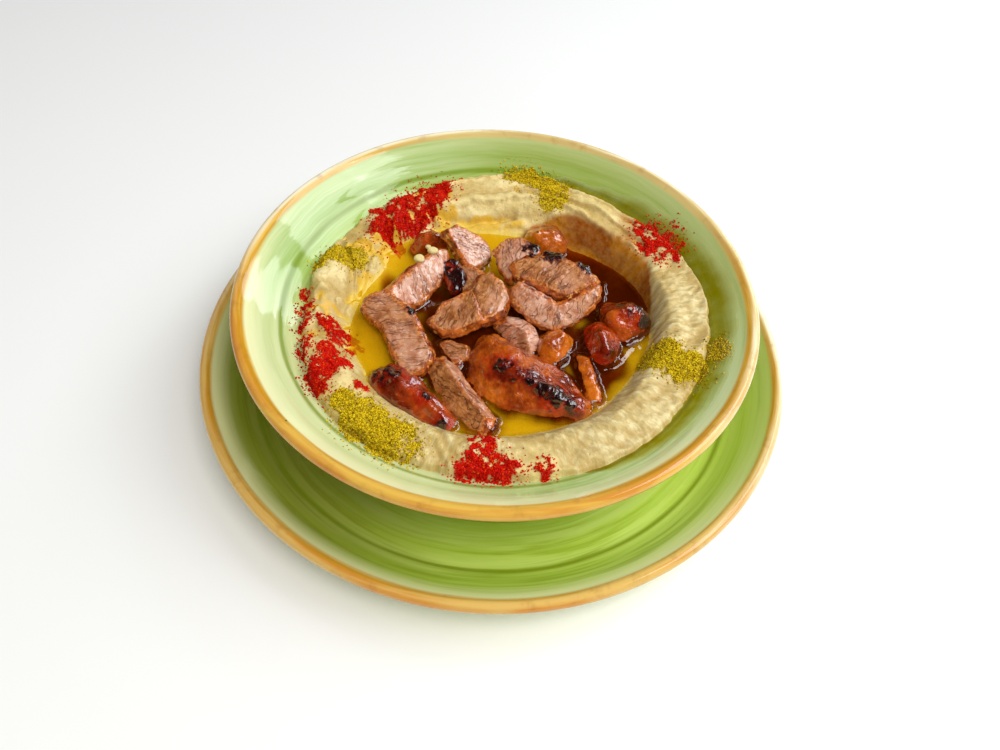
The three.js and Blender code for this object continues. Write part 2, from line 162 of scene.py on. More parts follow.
class Nodes:
    """Builds a material's node tree with short calls."""

    def __init__(self, name):
        self.material = bpy.data.materials.new(name)
        self.material.use_nodes = True
        self.tree = self.material.node_tree
        self.tree.nodes.clear()
        self.output = self.tree.nodes.new("ShaderNodeOutputMaterial")

    def link(self, source, target):
        self.tree.links.new(source, target)

    def put(self, socket, value):
        """Links a socket to another, or sets it to a constant."""
        if isinstance(value, bpy.types.NodeSocket):
            self.link(value, socket)
        elif value is not None:
            socket.default_value = value

    def node(self, kind, **settings):
        node = self.tree.nodes.new(kind)
        for key, value in settings.items():
            setattr(node, key, value)
        return node

    def attribute(self, name, output="Fac"):
        return self.node("ShaderNodeAttribute", attribute_name=name).outputs[output]

    def place(self):
        return self.node("ShaderNodeTexCoord").outputs["Object"]

    def join(self, x, y, z):
        node = self.node("ShaderNodeCombineXYZ")
        for socket, value in zip(node.inputs, (x, y, z)):
            self.put(socket, value)
        return node.outputs[0]

    def math(self, operation, a, b=None, c=None):
        node = self.node("ShaderNodeMath", operation=operation)
        for socket, value in zip(node.inputs, (a, b, c)):
            self.put(socket, value)
        return node.outputs[0]

    def plus(self, first, *others):
        for other in others:
            first = self.math("ADD", first, other)
        return first

    def minus(self, a, b):
        return self.math("SUBTRACT", a, b)

    def times(self, first, *others):
        for other in others:
            first = self.math("MULTIPLY", first, other)
        return first

    def polar(self, where):
        """Distance from the middle axis, the way out from it as east and north shares, and height."""
        node = self.node("ShaderNodeSeparateXYZ")
        self.link(where, node.inputs[0])
        x, y, z = node.outputs
        radius = self.math("SQRT", self.plus(self.times(x, x), self.times(y, y)))
        inverse = self.math("DIVIDE", 1.0, self.math("MAXIMUM", radius, 0.001))
        return radius, self.times(x, inverse), self.times(y, inverse), z

    def vector(self, operation, a, b):
        node = self.node("ShaderNodeVectorMath", operation=operation)
        self.put(node.inputs[0], a)
        self.put(node.inputs["Scale" if operation == "SCALE" else 1], b)
        return node.outputs["Vector"]

    def noise(self, where, scale, detail=3.0, roughness=0.55, distortion=0.0, output="Fac"):
        node = self.node("ShaderNodeTexNoise")
        values = dict(Vector=where, Scale=scale, Detail=detail, Roughness=roughness, Distortion=distortion)
        for key, value in values.items():
            self.put(node.inputs[key], value)
        return node.outputs[output]

    def cells(self, where, scale, output="Distance"):
        node = self.node("ShaderNodeTexVoronoi")
        self.put(node.inputs["Vector"], where)
        self.put(node.inputs["Scale"], scale)
        return node.outputs[output]

    def ramp(self, value, low, high, out_low=0.0, out_high=1.0, soft=True):
        node = self.node("ShaderNodeMapRange", interpolation_type="SMOOTHSTEP" if soft else "LINEAR")
        for socket, v in zip(node.inputs, (value, low, high, out_low, out_high)):
            self.put(socket, v)
        return node.outputs[0]

    def mix(self, share, a, b, kind="RGBA"):
        """From one colour to another."""
        node = self.node("ShaderNodeMix", data_type=kind)
        self.put(node.inputs["Factor"], share)
        self.put(node.inputs["A"], a)
        self.put(node.inputs["B"], b)
        return node.outputs["Result"]

    def blend(self, share, a, b):
        """From one number to another."""
        return self.mix(share, a, b, "FLOAT")

    def paint(self, under, colour, *shares):
        """A colour laid over another, as thickly as the product of the shares."""
        return self.mix(self.times(*shares), under, colour)

    def bump(self, height, strength, distance):
        node = self.node("ShaderNodeBump")
        self.put(node.inputs["Height"], height)
        node.inputs["Strength"].default_value = strength
        node.inputs["Distance"].default_value = distance
        return node.outputs["Normal"]

    def principled(self, **values):
        """The shader; each name is a socket's, with _ for a space."""
        node = self.node("ShaderNodeBsdfPrincipled")
        for key, value in values.items():
            self.put(node.inputs[key.replace("_", " ")], value)
        return node.outputs[0]

    def see_through(self, tint, body, share):
        """A clear tinted shader with a share of another in it."""
        clear = self.node("ShaderNodeBsdfTransparent")
        self.put(clear.inputs["Color"], tint)
        mixer = self.node("ShaderNodeMixShader")
        for socket, value in zip(mixer.inputs, (share, clear.outputs[0], body)):
            self.put(socket, value)
        return mixer.outputs[0]

    def finish(self, shader):
        self.link(shader, self.output.inputs["Surface"])
        return self.material


def rgb(red, green, blue):
    """A colour given as screen values from 0 to 255."""
    linear = [((v / 255 + 0.055) / 1.055) ** 2.4 if v > 10 else v / 255 / 12.92 for v in (red, green, blue)]
    return (*linear, 1.0)


def give(thing, material, *nodes, slot):
    """Dresses a piece, sets it on the body and lets it stand for its CAD nodes."""
    thing.data.materials.clear()
    thing.data.materials.append(material)
    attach(thing, "root")
    if nodes:
        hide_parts(*nodes)


# ---- Glazed dishes ----

INNER_ROWS = 110            # rows of points down the inside of a dish
LIP_ROWS = 20
OUTER_ROWS = 60
DISH_AROUND = 240

# Each glaze: its colours low and high on the wall, pale and deep in the strokes, of painted light
# and shade on one side and on the side across from it, and of the rim; that first side, in degrees
# round from +X; how strongly it is brushed and how far the strokes wander; the lip band's width and
# the pooled ring's radius. The bowl is painted paler as lit on its front-left wall and darker as
# shaded on its back-right wall; the plate is painted dark olive on its left as the bowl's shadow.
BOWL_GLAZE = dict(low=(160, 188, 62), high=(166, 194, 122), pale=(212, 226, 178), deep=(118, 142, 34),
                  thin_oil_and_side_shading=(222, 223, 170), thick=(140, 152, 38), rim=(222, 178, 78),
                  shading_side=228, brushed=0.5, wander=0.006, band_width=5.3, pool_radius=83.0)
PLATE_GLAZE = dict(low=(172, 196, 48), high=(174, 200, 72), pale=(206, 222, 122), deep=(118, 134, 8),
                   thin_oil_and_side_shading=(112, 104, 1), thick=(168, 190, 58), rim=(220, 180, 100),
                   shading_side=203, brushed=0.62, wander=0.002, band_width=5.0, pool_radius=97.5)


def inside_height(dish, radius):
    out = radius - dish["sweep_radius"]
    return dish["floor"] + dish["slope"] * (out + np.hypot(out, dish["sweep_width"])) / 2


def inside_slope(dish, radius):
    out = radius - dish["sweep_radius"]
    return dish["slope"] * (1 + out / np.hypot(out, dish["sweep_width"])) / 2


def dish_profile(dish):
    """The section of a dish as (radius, height) points, from the middle inside to the middle below."""
    half = dish["thickness"] / 2
    tilt = math.atan(dish["slope"])
    lip_x = dish["radius"] - half
    wall_end = lip_x - half * math.sin(tilt)
    profile = [(r, inside_height(dish, r)) for r in np.linspace(0.6, wall_end, INNER_ROWS)]
    for step in range(1, LIP_ROWS):
        angle = tilt + math.pi / 2 - math.pi * step / LIP_ROWS
        profile.append((lip_x + half * math.cos(angle), dish["lip_height"] + half * math.sin(angle)))
    foot_outer = dish["foot_radius"] + dish["foot_width"] / 2
    foot_inner = dish["foot_radius"] - dish["foot_width"] / 2
    for r in np.linspace(wall_end, foot_outer, OUTER_ROWS):
        slope = inside_slope(dish, r)
        scale = dish["thickness"] / math.hypot(1, slope)
        profile.append((r + slope * scale, inside_height(dish, r) - scale))
    # a foot ring with rounded edges, then the flat underside
    bottom = dish["foot_bottom"]
    underside = inside_height(dish, 0) - dish["thickness"]
    profile += [(foot_outer - 0.2, bottom + 0.9), (foot_outer - 0.8, bottom + 0.15),
                (foot_outer - 1.4, bottom), (foot_inner + 1.2, bottom),
                (foot_inner + 0.5, bottom + 0.2), (foot_inner, bottom + 0.9),
                (foot_inner - 0.6, underside), (foot_inner / 2, underside), (0.6, underside)]
    return np.array(profile)


def make_dish(name, dish, ripple, seed):
    """A thrown dish: faint spiral throwing rings run round its inside."""
    profile = dish_profile(dish)
    r = np.repeat(profile[:, 0], DISH_AROUND)
    z = np.repeat(profile[:, 1], DISH_AROUND)
    a = np.tile(np.arange(DISH_AROUND) * 2 * math.pi / DISH_AROUND, len(profile))
    turns = np.stack([r * 0.9 + 1.5 * a / math.pi, 3 * np.cos(a), 3 * np.sin(a)], 1)
    inside = np.arange(len(r)) < INNER_ROWS * DISH_AROUND
    on_wall = smooth((r - 8) / 20) * smooth((dish["radius"] - 6 - r) / 4) * inside
    z = z + noise(turns, 2.6, seed) * ripple * on_wall
    points = np.stack([r * np.cos(a), r * np.sin(a), z], 1)
    return add_mesh(name, *closed_rings(points, DISH_AROUND, profile[0, 1], profile[-1, 1]))


def lip_band(n, colour, dish, look, polar, brush):
    """An iron-orange band that starts inside the rim and ends a little way down the outside, painted cream as
    lit towards the back and right.
    """
    radius, east, north, z = polar
    edge = (dish["radius"] - look["band_width"]) * MM
    lip = dish["lip_height"]
    rim_light = rgb(*look["rim"])
    toward_front = n.minus(n.times(east, -0.34), n.times(north, 0.94))
    front = n.ramp(toward_front, -0.15, 0.6)
    ragged = n.times(n.minus(brush, 0.5), 0.0022)
    frayed = n.plus(radius, ragged)
    band = n.times(n.ramp(frayed, edge - 0.0004, edge + 0.0009),
                   n.ramp(n.plus(z, ragged), (lip - 4.2) * MM, (lip - 2.8) * MM))
    near_band = n.ramp(radius, edge - 0.0075, edge)
    # partly painted light: a pale cream band inside the rim, painted strongest at the front, where the inner
    # wall faces the lamps
    colour = n.paint(colour, rgb(240, 238, 186), near_band, n.blend(front, 0.2, 0.75))
    amber = n.mix(n.ramp(brush, 0.38, 0.62), rgb(196, 140, 36), rim_light)
    # painted light: the lip is painted paler towards the back, as lit from behind
    amber = n.mix(n.ramp(toward_front, -0.3, -0.9, 0.0, 0.6), amber, rgb(208, 194, 140))
    streak = n.ramp(brush, 0.4, 0.6)
    # painted light: the outside of the lip is painted cream away from the front, as lit by the lamps, and
    # keeps its orange at the front
    outer = n.mix(front, n.mix(streak, rgb(226, 200, 138), rgb(246, 236, 204)),
                  n.mix(streak, rgb(208, 142, 60), rim_light))
    rim = n.mix(n.ramp(frayed, edge + 0.0016, edge + 0.0032), amber, outer)
    rim = n.paint(rim, rgb(158, 104, 48), n.ramp(n.noise(n.place(), 160.0, 4.0), 0.54, 0.74), 0.3)
    return n.mix(band, colour, rim)


def glaze(name, dish, look):
    """Brushed green glaze, yellower towards the middle, with iron specks and a band over the lip."""
    n = Nodes(name)
    where = n.place()
    polar = n.polar(where)
    radius, east, north, z = polar
    low, high, pale, deep = (rgb(*look[key]) for key in ("low", "high", "pale", "deep"))
    brushed = look["brushed"]
    drift = n.plus(radius, n.times(z, 0.4), n.times(n.noise(where, 24.0, 3.0), look["wander"]))

    def strokes(turns, width, detail, shift):
        """Brush strokes drawn out round the dish, this wide in metres."""
        across = n.math("MULTIPLY_ADD", drift, 1 / width, shift)
        return n.noise(n.join(n.times(east, turns), n.times(north, turns), across), 1.0, detail, 0.55)

    broad = strokes(1.0, 0.0080, 2.0, 3.0)
    brush = strokes(1.7, 0.0032, 3.0, 11.0)
    hairs = strokes(2.0, 0.0010, 2.0, 29.0)
    colour = n.mix(n.ramp(radius, (dish["sweep_radius"] + 18) * MM, (dish["radius"] - 8) * MM), low, high)
    colour = n.paint(colour, pale, n.ramp(n.blend(0.5, broad, brush), 0.44, 0.62), 0.9 * brushed)
    colour = n.paint(colour, deep, n.ramp(brush, 0.47, 0.34), 0.55 * brushed)
    colour = n.paint(colour, deep, n.ramp(hairs, 0.54, 0.66), 0.32 * brushed)
    colour = n.paint(colour, pale, n.ramp(hairs, 0.46, 0.34), 0.40 * brushed)
    # painted light and shade: one side of the dish is painted in one tint and the side across from it
    # in another, as the lamps light and shade them; the glaze has also pooled in a ring
    side = math.radians(look["shading_side"])
    toward_shading_side = n.plus(n.times(east, math.cos(side)), n.times(north, math.sin(side)))
    # painted light on the bowl's front-left wall; painted shadow of the bowl on the plate's left
    colour = n.mix(n.ramp(toward_shading_side, 0.45, 1.0, 0.0, 0.65), colour, rgb(*look["thin_oil_and_side_shading"]))
    # painted shade on the bowl's back-right wall; on the plate this side stays near its own green
    colour = n.mix(n.ramp(toward_shading_side, -0.1, -0.9, 0.0, 0.6), colour, rgb(*look["thick"]))
    ring = n.math("ABSOLUTE", n.minus(radius, look["pool_radius"] * MM))
    colour = n.paint(colour, deep, n.ramp(n.plus(ring, n.times(brush, 0.0016)), 0.0024, 0.0009), 0.8)
    colour = lip_band(n, colour, dish, look, polar, brush)
    specks = n.ramp(n.cells(where, 62.0), 0.038, 0.022)
    few = n.ramp(n.noise(where, 30.0, 1.0), 0.50, 0.58)
    colour = n.paint(colour, rgb(70, 62, 34), specks, few, 0.85)
    height = n.blend(0.3, brush, n.noise(where, 45.0, 2.0))
    rough = n.ramp(n.noise(where, 120.0, 3.0), 0.3, 0.8, 0.04, 0.09)
    return n.finish(n.principled(Base_Color=colour, Roughness=rough, Normal=n.bump(height, 0.16, 0.0006),
                                 IOR=1.45, Coat_Weight=0.15, Coat_Roughness=0.03))


def make_dishes():
    bowl = make_dish("bowl_glazed", BOWL, 0.22, 3)
    give(bowl, glaze("bowl_glaze", BOWL, BOWL_GLAZE), "bowl", slot="bowl_glaze")
    plate = make_dish("underplate_glazed", PLATE, 0.2, 8)
    give(plate, glaze("plate_glaze", PLATE, PLATE_GLAZE), "underplate", slot="plate_glaze")


# ---- Hummus ----

# Ovals of powdered spice on the ring: x, y, half length, half width, turn.
PAPRIKA = [
    (-54, 53, 4, 4, 0), (-40, 54, 25, 12, 50), (-32, 65, 13, 9, 25), (-43, 38, 3.5, 6, 10),
    (-76, 3, 3, 4, 0), (-74, -10, 4.5, 11, 0), (-71, -24, 4, 8, 0), (-57, -18, 8, 8.5, 20),
    (-64, -13, 5, 4, 0), (-63, -41, 6.5, 12, 25), (-59, -35, 6, 5.5, 0), (-54, -34, 3.5, 3.5, 0),
    (-62, -28, 5, 4.5, 0), (-47, -44, 4, 3.4, 0), (1, -76, 14, 7.5, 0), (-2, -66, 6, 6.5, 0),
    (20, -75, 4, 5.5, 0), (67.5, 40, 11.5, 13.5, 20), (62, 47.5, 9, 8, 0),
]
HERBS = [
    (8, 79, 12, 8, 0), (19, 74, 13, 8, -20), (22, 64, 9, 9, 0), (-63, 23, 13, 9.5, 25), (-72, 18, 5, 7, 0),
    (63, -20, 11.5, 11, -20), (72, -27, 11, 11, -40), (84, -19, 5.5, 9, 0), (-44, -59, 12, 12, -30),
    (-32, -67, 13, 12, -10), (-52, -52, 7, 7, 0),
]
PAPRIKA_GAPS = 1.1          # how patchy each powder lies
HERB_GAPS = 0.45
PAPRIKA_SEED = 21
HERB_SEED = 31
# Where the spoon left short dabs, also painted darker there as shade, soft lobes with seams between them, and
# overlapping steps.
COARSE_AND_SHADED = [(42, -50, 52, 34, -40), (66, 5, 26, 60, 0), (-20, -68, 40, 16, 0)]
LOBED = [(-58, 28, 26, 30, 30), (-60, -10, 24, 46, 0), (-36, 52, 22, 20, 30)]
STEPPED = [(8, 70, 60, 26, -12), (44, 55, 30, 20, -38)]
STEP_WIDTH = 5.6
STEP_HEIGHT = 1.7
FURROW_INSET = 11.5         # a furrow runs through the steps, this far in from the ring's edge
FURROW_WIDTH = 3.0
FURROW_DEPTH = 1.6
# Sharp creases where one spoonful was laid against another.
CREASES = [[(-66, 31), (-60, 20), (-58.5, 8), (-61, -4)], [(-43, 38), (-51, 32), (-55.5, 22), (-56, 9)],
           [(-44, 40), (-54, 40), (-64, 45)], [(-31, 55), (-14, 54), (5, 58)]]
CREASE_WIDTH = 1.7
CREASE_DEPTH = 2.4
# Where yellow oil has soaked in.
STAINS = [(-44, -31, 7, 17, 0), (-26, 56, 9, 11, 0), (-48, 40, 10, 6, 30), (-48, -12, 6, 16, 0),
          (-4, 53, 24, 6, 6), (-58, 31, 8, 6, 0), (-54, 10, 6, 16, -15), (-46, 30, 8, 10, 40)]
# Where meat juices have crept up the slope above the pool, and how high; the brown there is also painted
# shade, on the back-right slope that faces away from the lamps.
JUICY_AND_SHADED = [(44, 40, 44, 36, 130)]
JUICE_RISE = 10.5
# What is told of each point of the paste.
HUMMUS_FIELDS = ("paprika", "herbs", "stain", "juicy_and_shaded", "coarse_and_shaded", "wet", "hollow_shade")


def spice_cover(x, y, spots, gaps, seed):
    """How thickly powder lies at points, 0 to 1: clumps with ragged edges and bare gaps."""
    flat = level(x, y)
    heap = np.minimum(1, 2.4 * patches(x, y, spots))
    clumps = 0.45 * noise(flat, 3.2, seed) + 0.45 * noise(flat, 1.5, seed + 1)
    clumps += 0.3 * noise(flat, 0.8, seed + 2)
    return smooth((heap + gaps * clumps - 0.62) / 0.25) * (heap > 0)


def blur_rows(grid, passes):
    """Smooths a (radius, angle) grid a little in both directions."""
    for _ in range(passes):
        grid = 0.25 * np.roll(grid, 1, 1) + 0.5 * grid + 0.25 * np.roll(grid, -1, 1)
        inner = 0.25 * grid[:-2] + 0.5 * grid[1:-1] + 0.25 * grid[2:]
        grid = np.vstack([grid[:1], inner, grid[-1:]])
    return grid


class Hummus:
    """The ring of hummus: its CAD form, read by rays from above, with the spoon's marks added."""

    AROUND = 560
    RINGS = 150
    EDGE_STEPS = 64         # directions in which the CAD ring's outer radius is read
    BURIED = (0.985, 0.9, 0.75, 0.6, 0.42, 0.2)       # rings of the underside, as shares of the edge

    def __init__(self):
        tree = ray_tree(NODES["hummus"].data)
        self.angles = np.arange(self.AROUND) * 2 * math.pi / self.AROUND
        self.edge = self.outline()
        share = 0.12 + 0.88 * np.linspace(0, 1, self.RINGS) ** 0.62
        self.radius = share[:, None] * self.edge[None, :]
        height = np.zeros_like(self.radius)
        for i in range(self.RINGS):
            for j, angle in enumerate(self.angles):
                r = min(self.radius[i, j], self.edge[j] - 0.25)
                above = Vector((r * math.cos(angle) * MM, r * math.sin(angle) * MM, 0.1))
                hit = tree.ray_cast(above, DOWN)
                height[i, j] = hit[0].z / MM if hit[0] else OIL_LEVEL
        self.height = blur_rows(height, 6)
        self.x = self.radius * np.cos(self.angles)
        self.y = self.radius * np.sin(self.angles)
        self.add_relief()

    def outline(self):
        """Outer radius of the ring at each angle, slightly ragged."""
        x, y = vertices(NODES["hummus"].data)[:, :2].T
        turn = np.arctan2(y, x) % (2 * math.pi)
        far = np.hypot(x, y)
        steps = self.EDGE_STEPS
        bins = np.round(turn / (2 * math.pi) * steps).astype(int) % steps
        edge = np.array([far[bins == b].max() for b in range(steps)])
        edge = np.interp(self.angles, np.arange(steps + 1) * 2 * math.pi / steps, np.append(edge, edge[0]))
        for _ in range(8):
            edge = (np.roll(edge, 1) + 2 * edge + np.roll(edge, -1)) / 4
        circle = level(40 * np.cos(self.angles), 40 * np.sin(self.angles))
        return edge - 0.35 + 0.6 * noise(circle, 2.2, 5) + 0.35 * noise(circle, 0.8, 6)

    def add_relief(self):
        """The spoon's marks: dabs at the front right, soft lobes on the left, steps at the back."""
        x, y, radius = self.x.ravel(), self.y.ravel(), self.radius.ravel()
        height = self.height.ravel()
        angle = np.tile(self.angles, self.RINGS)
        inward = np.tile(self.edge, self.RINGS) - radius
        flat = level(x, y)
        swept = angle + radius * 0.01
        sweep = np.stack([radius / 1.5, 16 * np.cos(swept), 16 * np.sin(swept)], 1)
        swept = angle - radius * 0.012
        dabs = np.stack([radius / 3.4, 66 * np.cos(swept), 66 * np.sin(swept)], 1)
        self.coarse_and_shaded = smooth(patches(x, y, COARSE_AND_SHADED) * 3)
        lobed = smooth(patches(x, y, LOBED) * 3)
        stepped = smooth(patches(x, y, STEPPED) * 3)
        seam = 1 - smooth(np.abs(noise(flat, 15.0, 50) + 0.25 * noise(flat, 4.0, 51)) / 0.20)
        furrow = np.exp(-((inward - FURROW_INSET - 1.8 * noise(flat, 14.0, 52)) / FURROW_WIDTH) ** 2)
        away = np.min([line_distance(x, y, line) for line in CREASES], 0) + 0.8 * noise(flat, 5.0, 54)
        crease = np.exp(-(away / CREASE_WIDTH) ** 2)
        # meat juices have run up the slope to a ragged line; their brown there is partly painted shade
        reach = JUICE_RISE * smooth(1.8 * patches(x, y, JUICY_AND_SHADED))
        ragged = 0.9 * noise(flat, 9.0, 55) + 0.4 * noise(flat, 2.5, 59)
        self.juicy_and_shaded = smooth((OIL_LEVEL + reach - height + ragged) / 2.2) * smooth(reach / 2.0)
        # the spoon's passes overlap like shallow steps that drop towards the middle
        phase = (inward + 2.0 * noise(flat, 20.0, 56) + 0.5 * noise(flat, 6.0, 57)) / STEP_WIDTH % 1.0
        steps = phase - smooth((phase - 0.80) / 0.20)
        relief = (0.6 * noise(flat, 9.0, 11) + 0.38 * noise(flat, 4.2, 12) + 0.28 * noise(flat, 2.1, 13)
                  + 0.28 * noise(sweep, 1.6, 14) + (0.12 + 0.62 * self.coarse_and_shaded) * noise(dabs, 2.1, 15)
                  + lobed * (1.6 * noise(flat, 6.5, 58) - 2.2 * seam)
                  + stepped * (STEP_HEIGHT * steps - FURROW_DEPTH * furrow) - CREASE_DEPTH * crease)
        relief *= 1 - 0.6 * self.juicy_and_shaded
        self.red = spice_cover(x, y, PAPRIKA, PAPRIKA_GAPS, PAPRIKA_SEED)
        self.green = spice_cover(x, y, HERBS, HERB_GAPS, HERB_SEED)
        relief += np.maximum(self.red, self.green) * (0.3 + 0.4 * noise(flat, 1.2, 23))
        # painted shade: the hollows of the relief and the creases are marked to be painted darker
        self.hollow_shade = np.maximum(smooth(0.35 - 0.8 * relief), crease)
        soaked = 2.0 * patches(x, y, STAINS) + 1.0 * lobed * seam + 0.5 * stepped * furrow + 0.5 * crease
        self.stain = np.clip(soaked * (0.55 + 0.45 * noise(flat, 3.0, 53)), 0, 1)
        # the marks fade out at the pool and at the bowl's wall, which the edge runs down to
        relief = relief * smooth((height - OIL_LEVEL + 1) / 4) * smooth(inward / 2.0)
        self.height = (height + relief).reshape(self.height.shape)
        to_wall = smooth(1 - inward / 2.4).reshape(self.height.shape)
        wall = inside_height(BOWL, self.radius)
        self.height = self.height + to_wall ** 2 * (wall - 0.3 - self.height)

    def at(self, x, y):
        """Surface height at points: the hummus, or the bowl's wall beyond it."""
        radius = np.hypot(x, y)
        column = (np.arctan2(y, x) % (2 * math.pi)) / (2 * math.pi) * self.AROUND
        column = np.round(column).astype(int) % self.AROUND
        result = inside_height(BOWL, radius)
        for k in np.nonzero(radius < self.edge[column])[0]:
            result[k] = np.interp(radius[k], self.radius[:, column[k]], self.height[:, column[k]])
        return result

    def build(self):
        rows = [np.stack([self.x, self.y, self.height], 2)]
        for share in self.BURIED:
            r = self.edge * share
            z = inside_height(BOWL, r) + (GAP if share < 0.95 else -0.6)
            rows.append(np.stack([r * np.cos(self.angles), r * np.sin(self.angles), z], 1)[None])
        points = np.concatenate(rows).reshape(-1, 3)
        middle = inside_height(BOWL, 0.0) + GAP
        points, faces = closed_rings(points, self.AROUND, self.height[0].mean(), middle)
        wet = smooth((OIL_LEVEL + 2.6 - self.height.ravel()) / 3.0)
        below = np.zeros(len(points) - self.x.size)
        values = (self.red, self.green, self.stain, self.juicy_and_shaded, self.coarse_and_shaded, wet, self.hollow_shade)
        fields = {key: np.append(value, below) for key, value in zip(HUMMUS_FIELDS, values)}
        thing = add_mesh("hummus_ring", points, faces, fields)
        material = hummus_material()
        give(thing, material, "hummus", slot="hummus")
        return material


def hummus_material():
    """Grainy cream paste, stained with oil and meat juices, under red and yellow-green powder, with painted
    shade in its hollows, over its dabbed right and front, and in the brown on its back-right slope.
    """
    n = Nodes("hummus")
    where = n.place()
    radius, east, north, _ = n.polar(where)
    # short strokes that point to the middle
    inward = n.join(n.times(east, 44.0), n.times(north, 44.0), n.times(radius, 260.0))
    dabs = n.noise(inward, 1.0, 3.0, 0.6, 0.3)
    soft = n.noise(where, 60.0, 3.0)
    grain = n.noise(where, 1000.0, 3.0, 0.6)
    lumps = n.noise(where, 380.0, 3.0, 0.6)
    coarse_and_shaded, wet = n.attribute("coarse_and_shaded"), n.attribute("wet")
    stain, juicy_and_shaded = n.attribute("stain"), n.attribute("juicy_and_shaded")
    colour = n.mix(n.ramp(soft, 0.35, 0.68), rgb(218, 192, 122), rgb(236, 216, 156))
    colour = n.paint(colour, rgb(182, 150, 80), n.ramp(lumps, 0.50, 0.68), 0.45)
    colour = n.paint(colour, rgb(244, 232, 184), n.ramp(grain, 0.56, 0.7), 0.4)
    # painted shade: the dabbed right and front of the ring are painted darker
    colour = n.paint(colour, rgb(200, 178, 124), coarse_and_shaded, 0.6)
    colour = n.paint(colour, rgb(176, 142, 74), n.ramp(dabs, 0.50, 0.62), 0.45, coarse_and_shaded)
    colour = n.paint(colour, rgb(246, 234, 184), n.ramp(dabs, 0.48, 0.38), 0.5, coarse_and_shaded)
    # painted shade in the hollows and creases
    colour = n.paint(colour, rgb(178, 142, 66), n.attribute("hollow_shade"), 0.5)
    # bits of skin
    bits = n.ramp(n.cells(where, 170.0), 0.08, 0.045)
    few = n.ramp(n.noise(where, 90.0, 1.0), 0.54, 0.6)
    colour = n.paint(colour, rgb(96, 66, 20), bits, few, 0.85)
    # oil and meat juices; the juices' brown on the back-right slope is partly painted shade
    soaked = n.ramp(n.plus(stain, n.times(n.minus(soft, lumps), 0.6)), 0.30, 0.75)
    colour = n.paint(colour, n.mix(soft, rgb(240, 204, 60), rgb(216, 158, 30)), soaked, 0.85)
    colour = n.paint(colour, rgb(238, 206, 92), wet, 0.85)
    # partly painted shade: the brown of the juices on the back-right slope
    brown = n.mix(n.ramp(soft, 0.4, 0.6), rgb(138, 66, 0), rgb(172, 104, 2))
    colour = n.paint(colour, brown, juicy_and_shaded, n.ramp(lumps, 0.3, 0.7, 1.0, 0.85))
    # powder, each speck of its own colour
    speck = n.node("ShaderNodeSeparateColor")
    n.link(n.cells(where, 1300.0, "Color"), speck.inputs[0])
    herb = n.mix(n.ramp(speck.outputs[0], 0.2, 0.8), rgb(154, 124, 4), rgb(232, 200, 28))
    herb = n.paint(herb, rgb(88, 58, 4), n.ramp(speck.outputs[1], 0.75, 0.9), 0.7)
    colour = n.paint(colour, herb, n.attribute("herbs"), 0.94)
    red = n.mix(n.ramp(speck.outputs[2], 0.3, 0.9), rgb(166, 6, 1), rgb(218, 24, 4))
    colour = n.mix(n.attribute("paprika"), colour, red)
    height = n.blend(n.times(coarse_and_shaded, 0.5), n.blend(0.45, lumps, grain), dabs)
    shine = n.math("MAXIMUM", n.math("MAXIMUM", wet, n.times(stain, 0.8)), juicy_and_shaded)
    return n.finish(n.principled(Base_Color=colour, Roughness=n.blend(shine, 0.50, 0.16),
                                 Normal=n.bump(height, 0.7, 0.0009), Specular_IOR_Level=0.45,
                                 Subsurface_Weight=0.10, Subsurface_Radius=(1.0, 0.7, 0.35),
                                 Subsurface_Scale=0.0015))


# ---- Spices as loose grains ----

GRAINS = 22000          # of each spice, at most
PAPRIKA_GRAIN = 0.72    # middling width of a grain
HERB_GRAIN = 0.62
REACH = 1.22            # how far grains stray, as a share of a spot's size
FLATNESS = 0.7          # height of a grain against its width
LEAN = 1.2              # how far grains tip over


def grain_places(rng, spots, gaps, cover_seed):
    """Where grains fall: piled where the powder lies deep, and sparse round the spots."""
    spot = np.array(spots, float)
    area = spot[:, 2] * spot[:, 3]
    pick = rng.choice(len(spots), 6 * GRAINS, p=area / area.sum())
    reach = REACH * np.sqrt(rng.random(len(pick)))
    turn = rng.random(len(pick)) * 2 * math.pi
    tilt = np.radians(spot[pick, 4])
    u, v = spot[pick, 2] * reach * np.cos(turn), spot[pick, 3] * reach * np.sin(turn)
    x = spot[pick, 0] + u * np.cos(tilt) - v * np.sin(tilt)
    y = spot[pick, 1] + u * np.sin(tilt) + v * np.cos(tilt)
    stray = 0.05 * (reach < 1.0) + 0.02
    chance = np.maximum(spice_cover(x, y, spots, gaps, cover_seed), stray)
    keep = (rng.random(len(x)) < chance) & (np.hypot(x, y) < BOWL["radius"] - 8)
    return x[keep][:GRAINS], y[keep][:GRAINS]


def grain_corners(rng, total):
    """The six corners of each grain, squashed, turned and tipped at random."""
    shape = np.array([(1, 0, 0), (0, 1, 0), (-1, 0, 0), (0, -1, 0), (0, 0, 1), (0, 0, -1)], float)
    corners = shape[None] * (0.6 + 0.8 * rng.random((total, 6, 1)))
    corners[:, :, 2] *= FLATNESS
    spin = rng.random(total) * 2 * math.pi
    c, s = np.cos(spin)[:, None], np.sin(spin)[:, None]
    x = corners[:, :, 0] * c - corners[:, :, 1] * s
    y = corners[:, :, 0] * s + corners[:, :, 1] * c
    lean = (rng.random((total, 2)) - 0.5) * LEAN
    return x, y, corners[:, :, 2] + lean[:, :1] * x + lean[:, 1:] * y


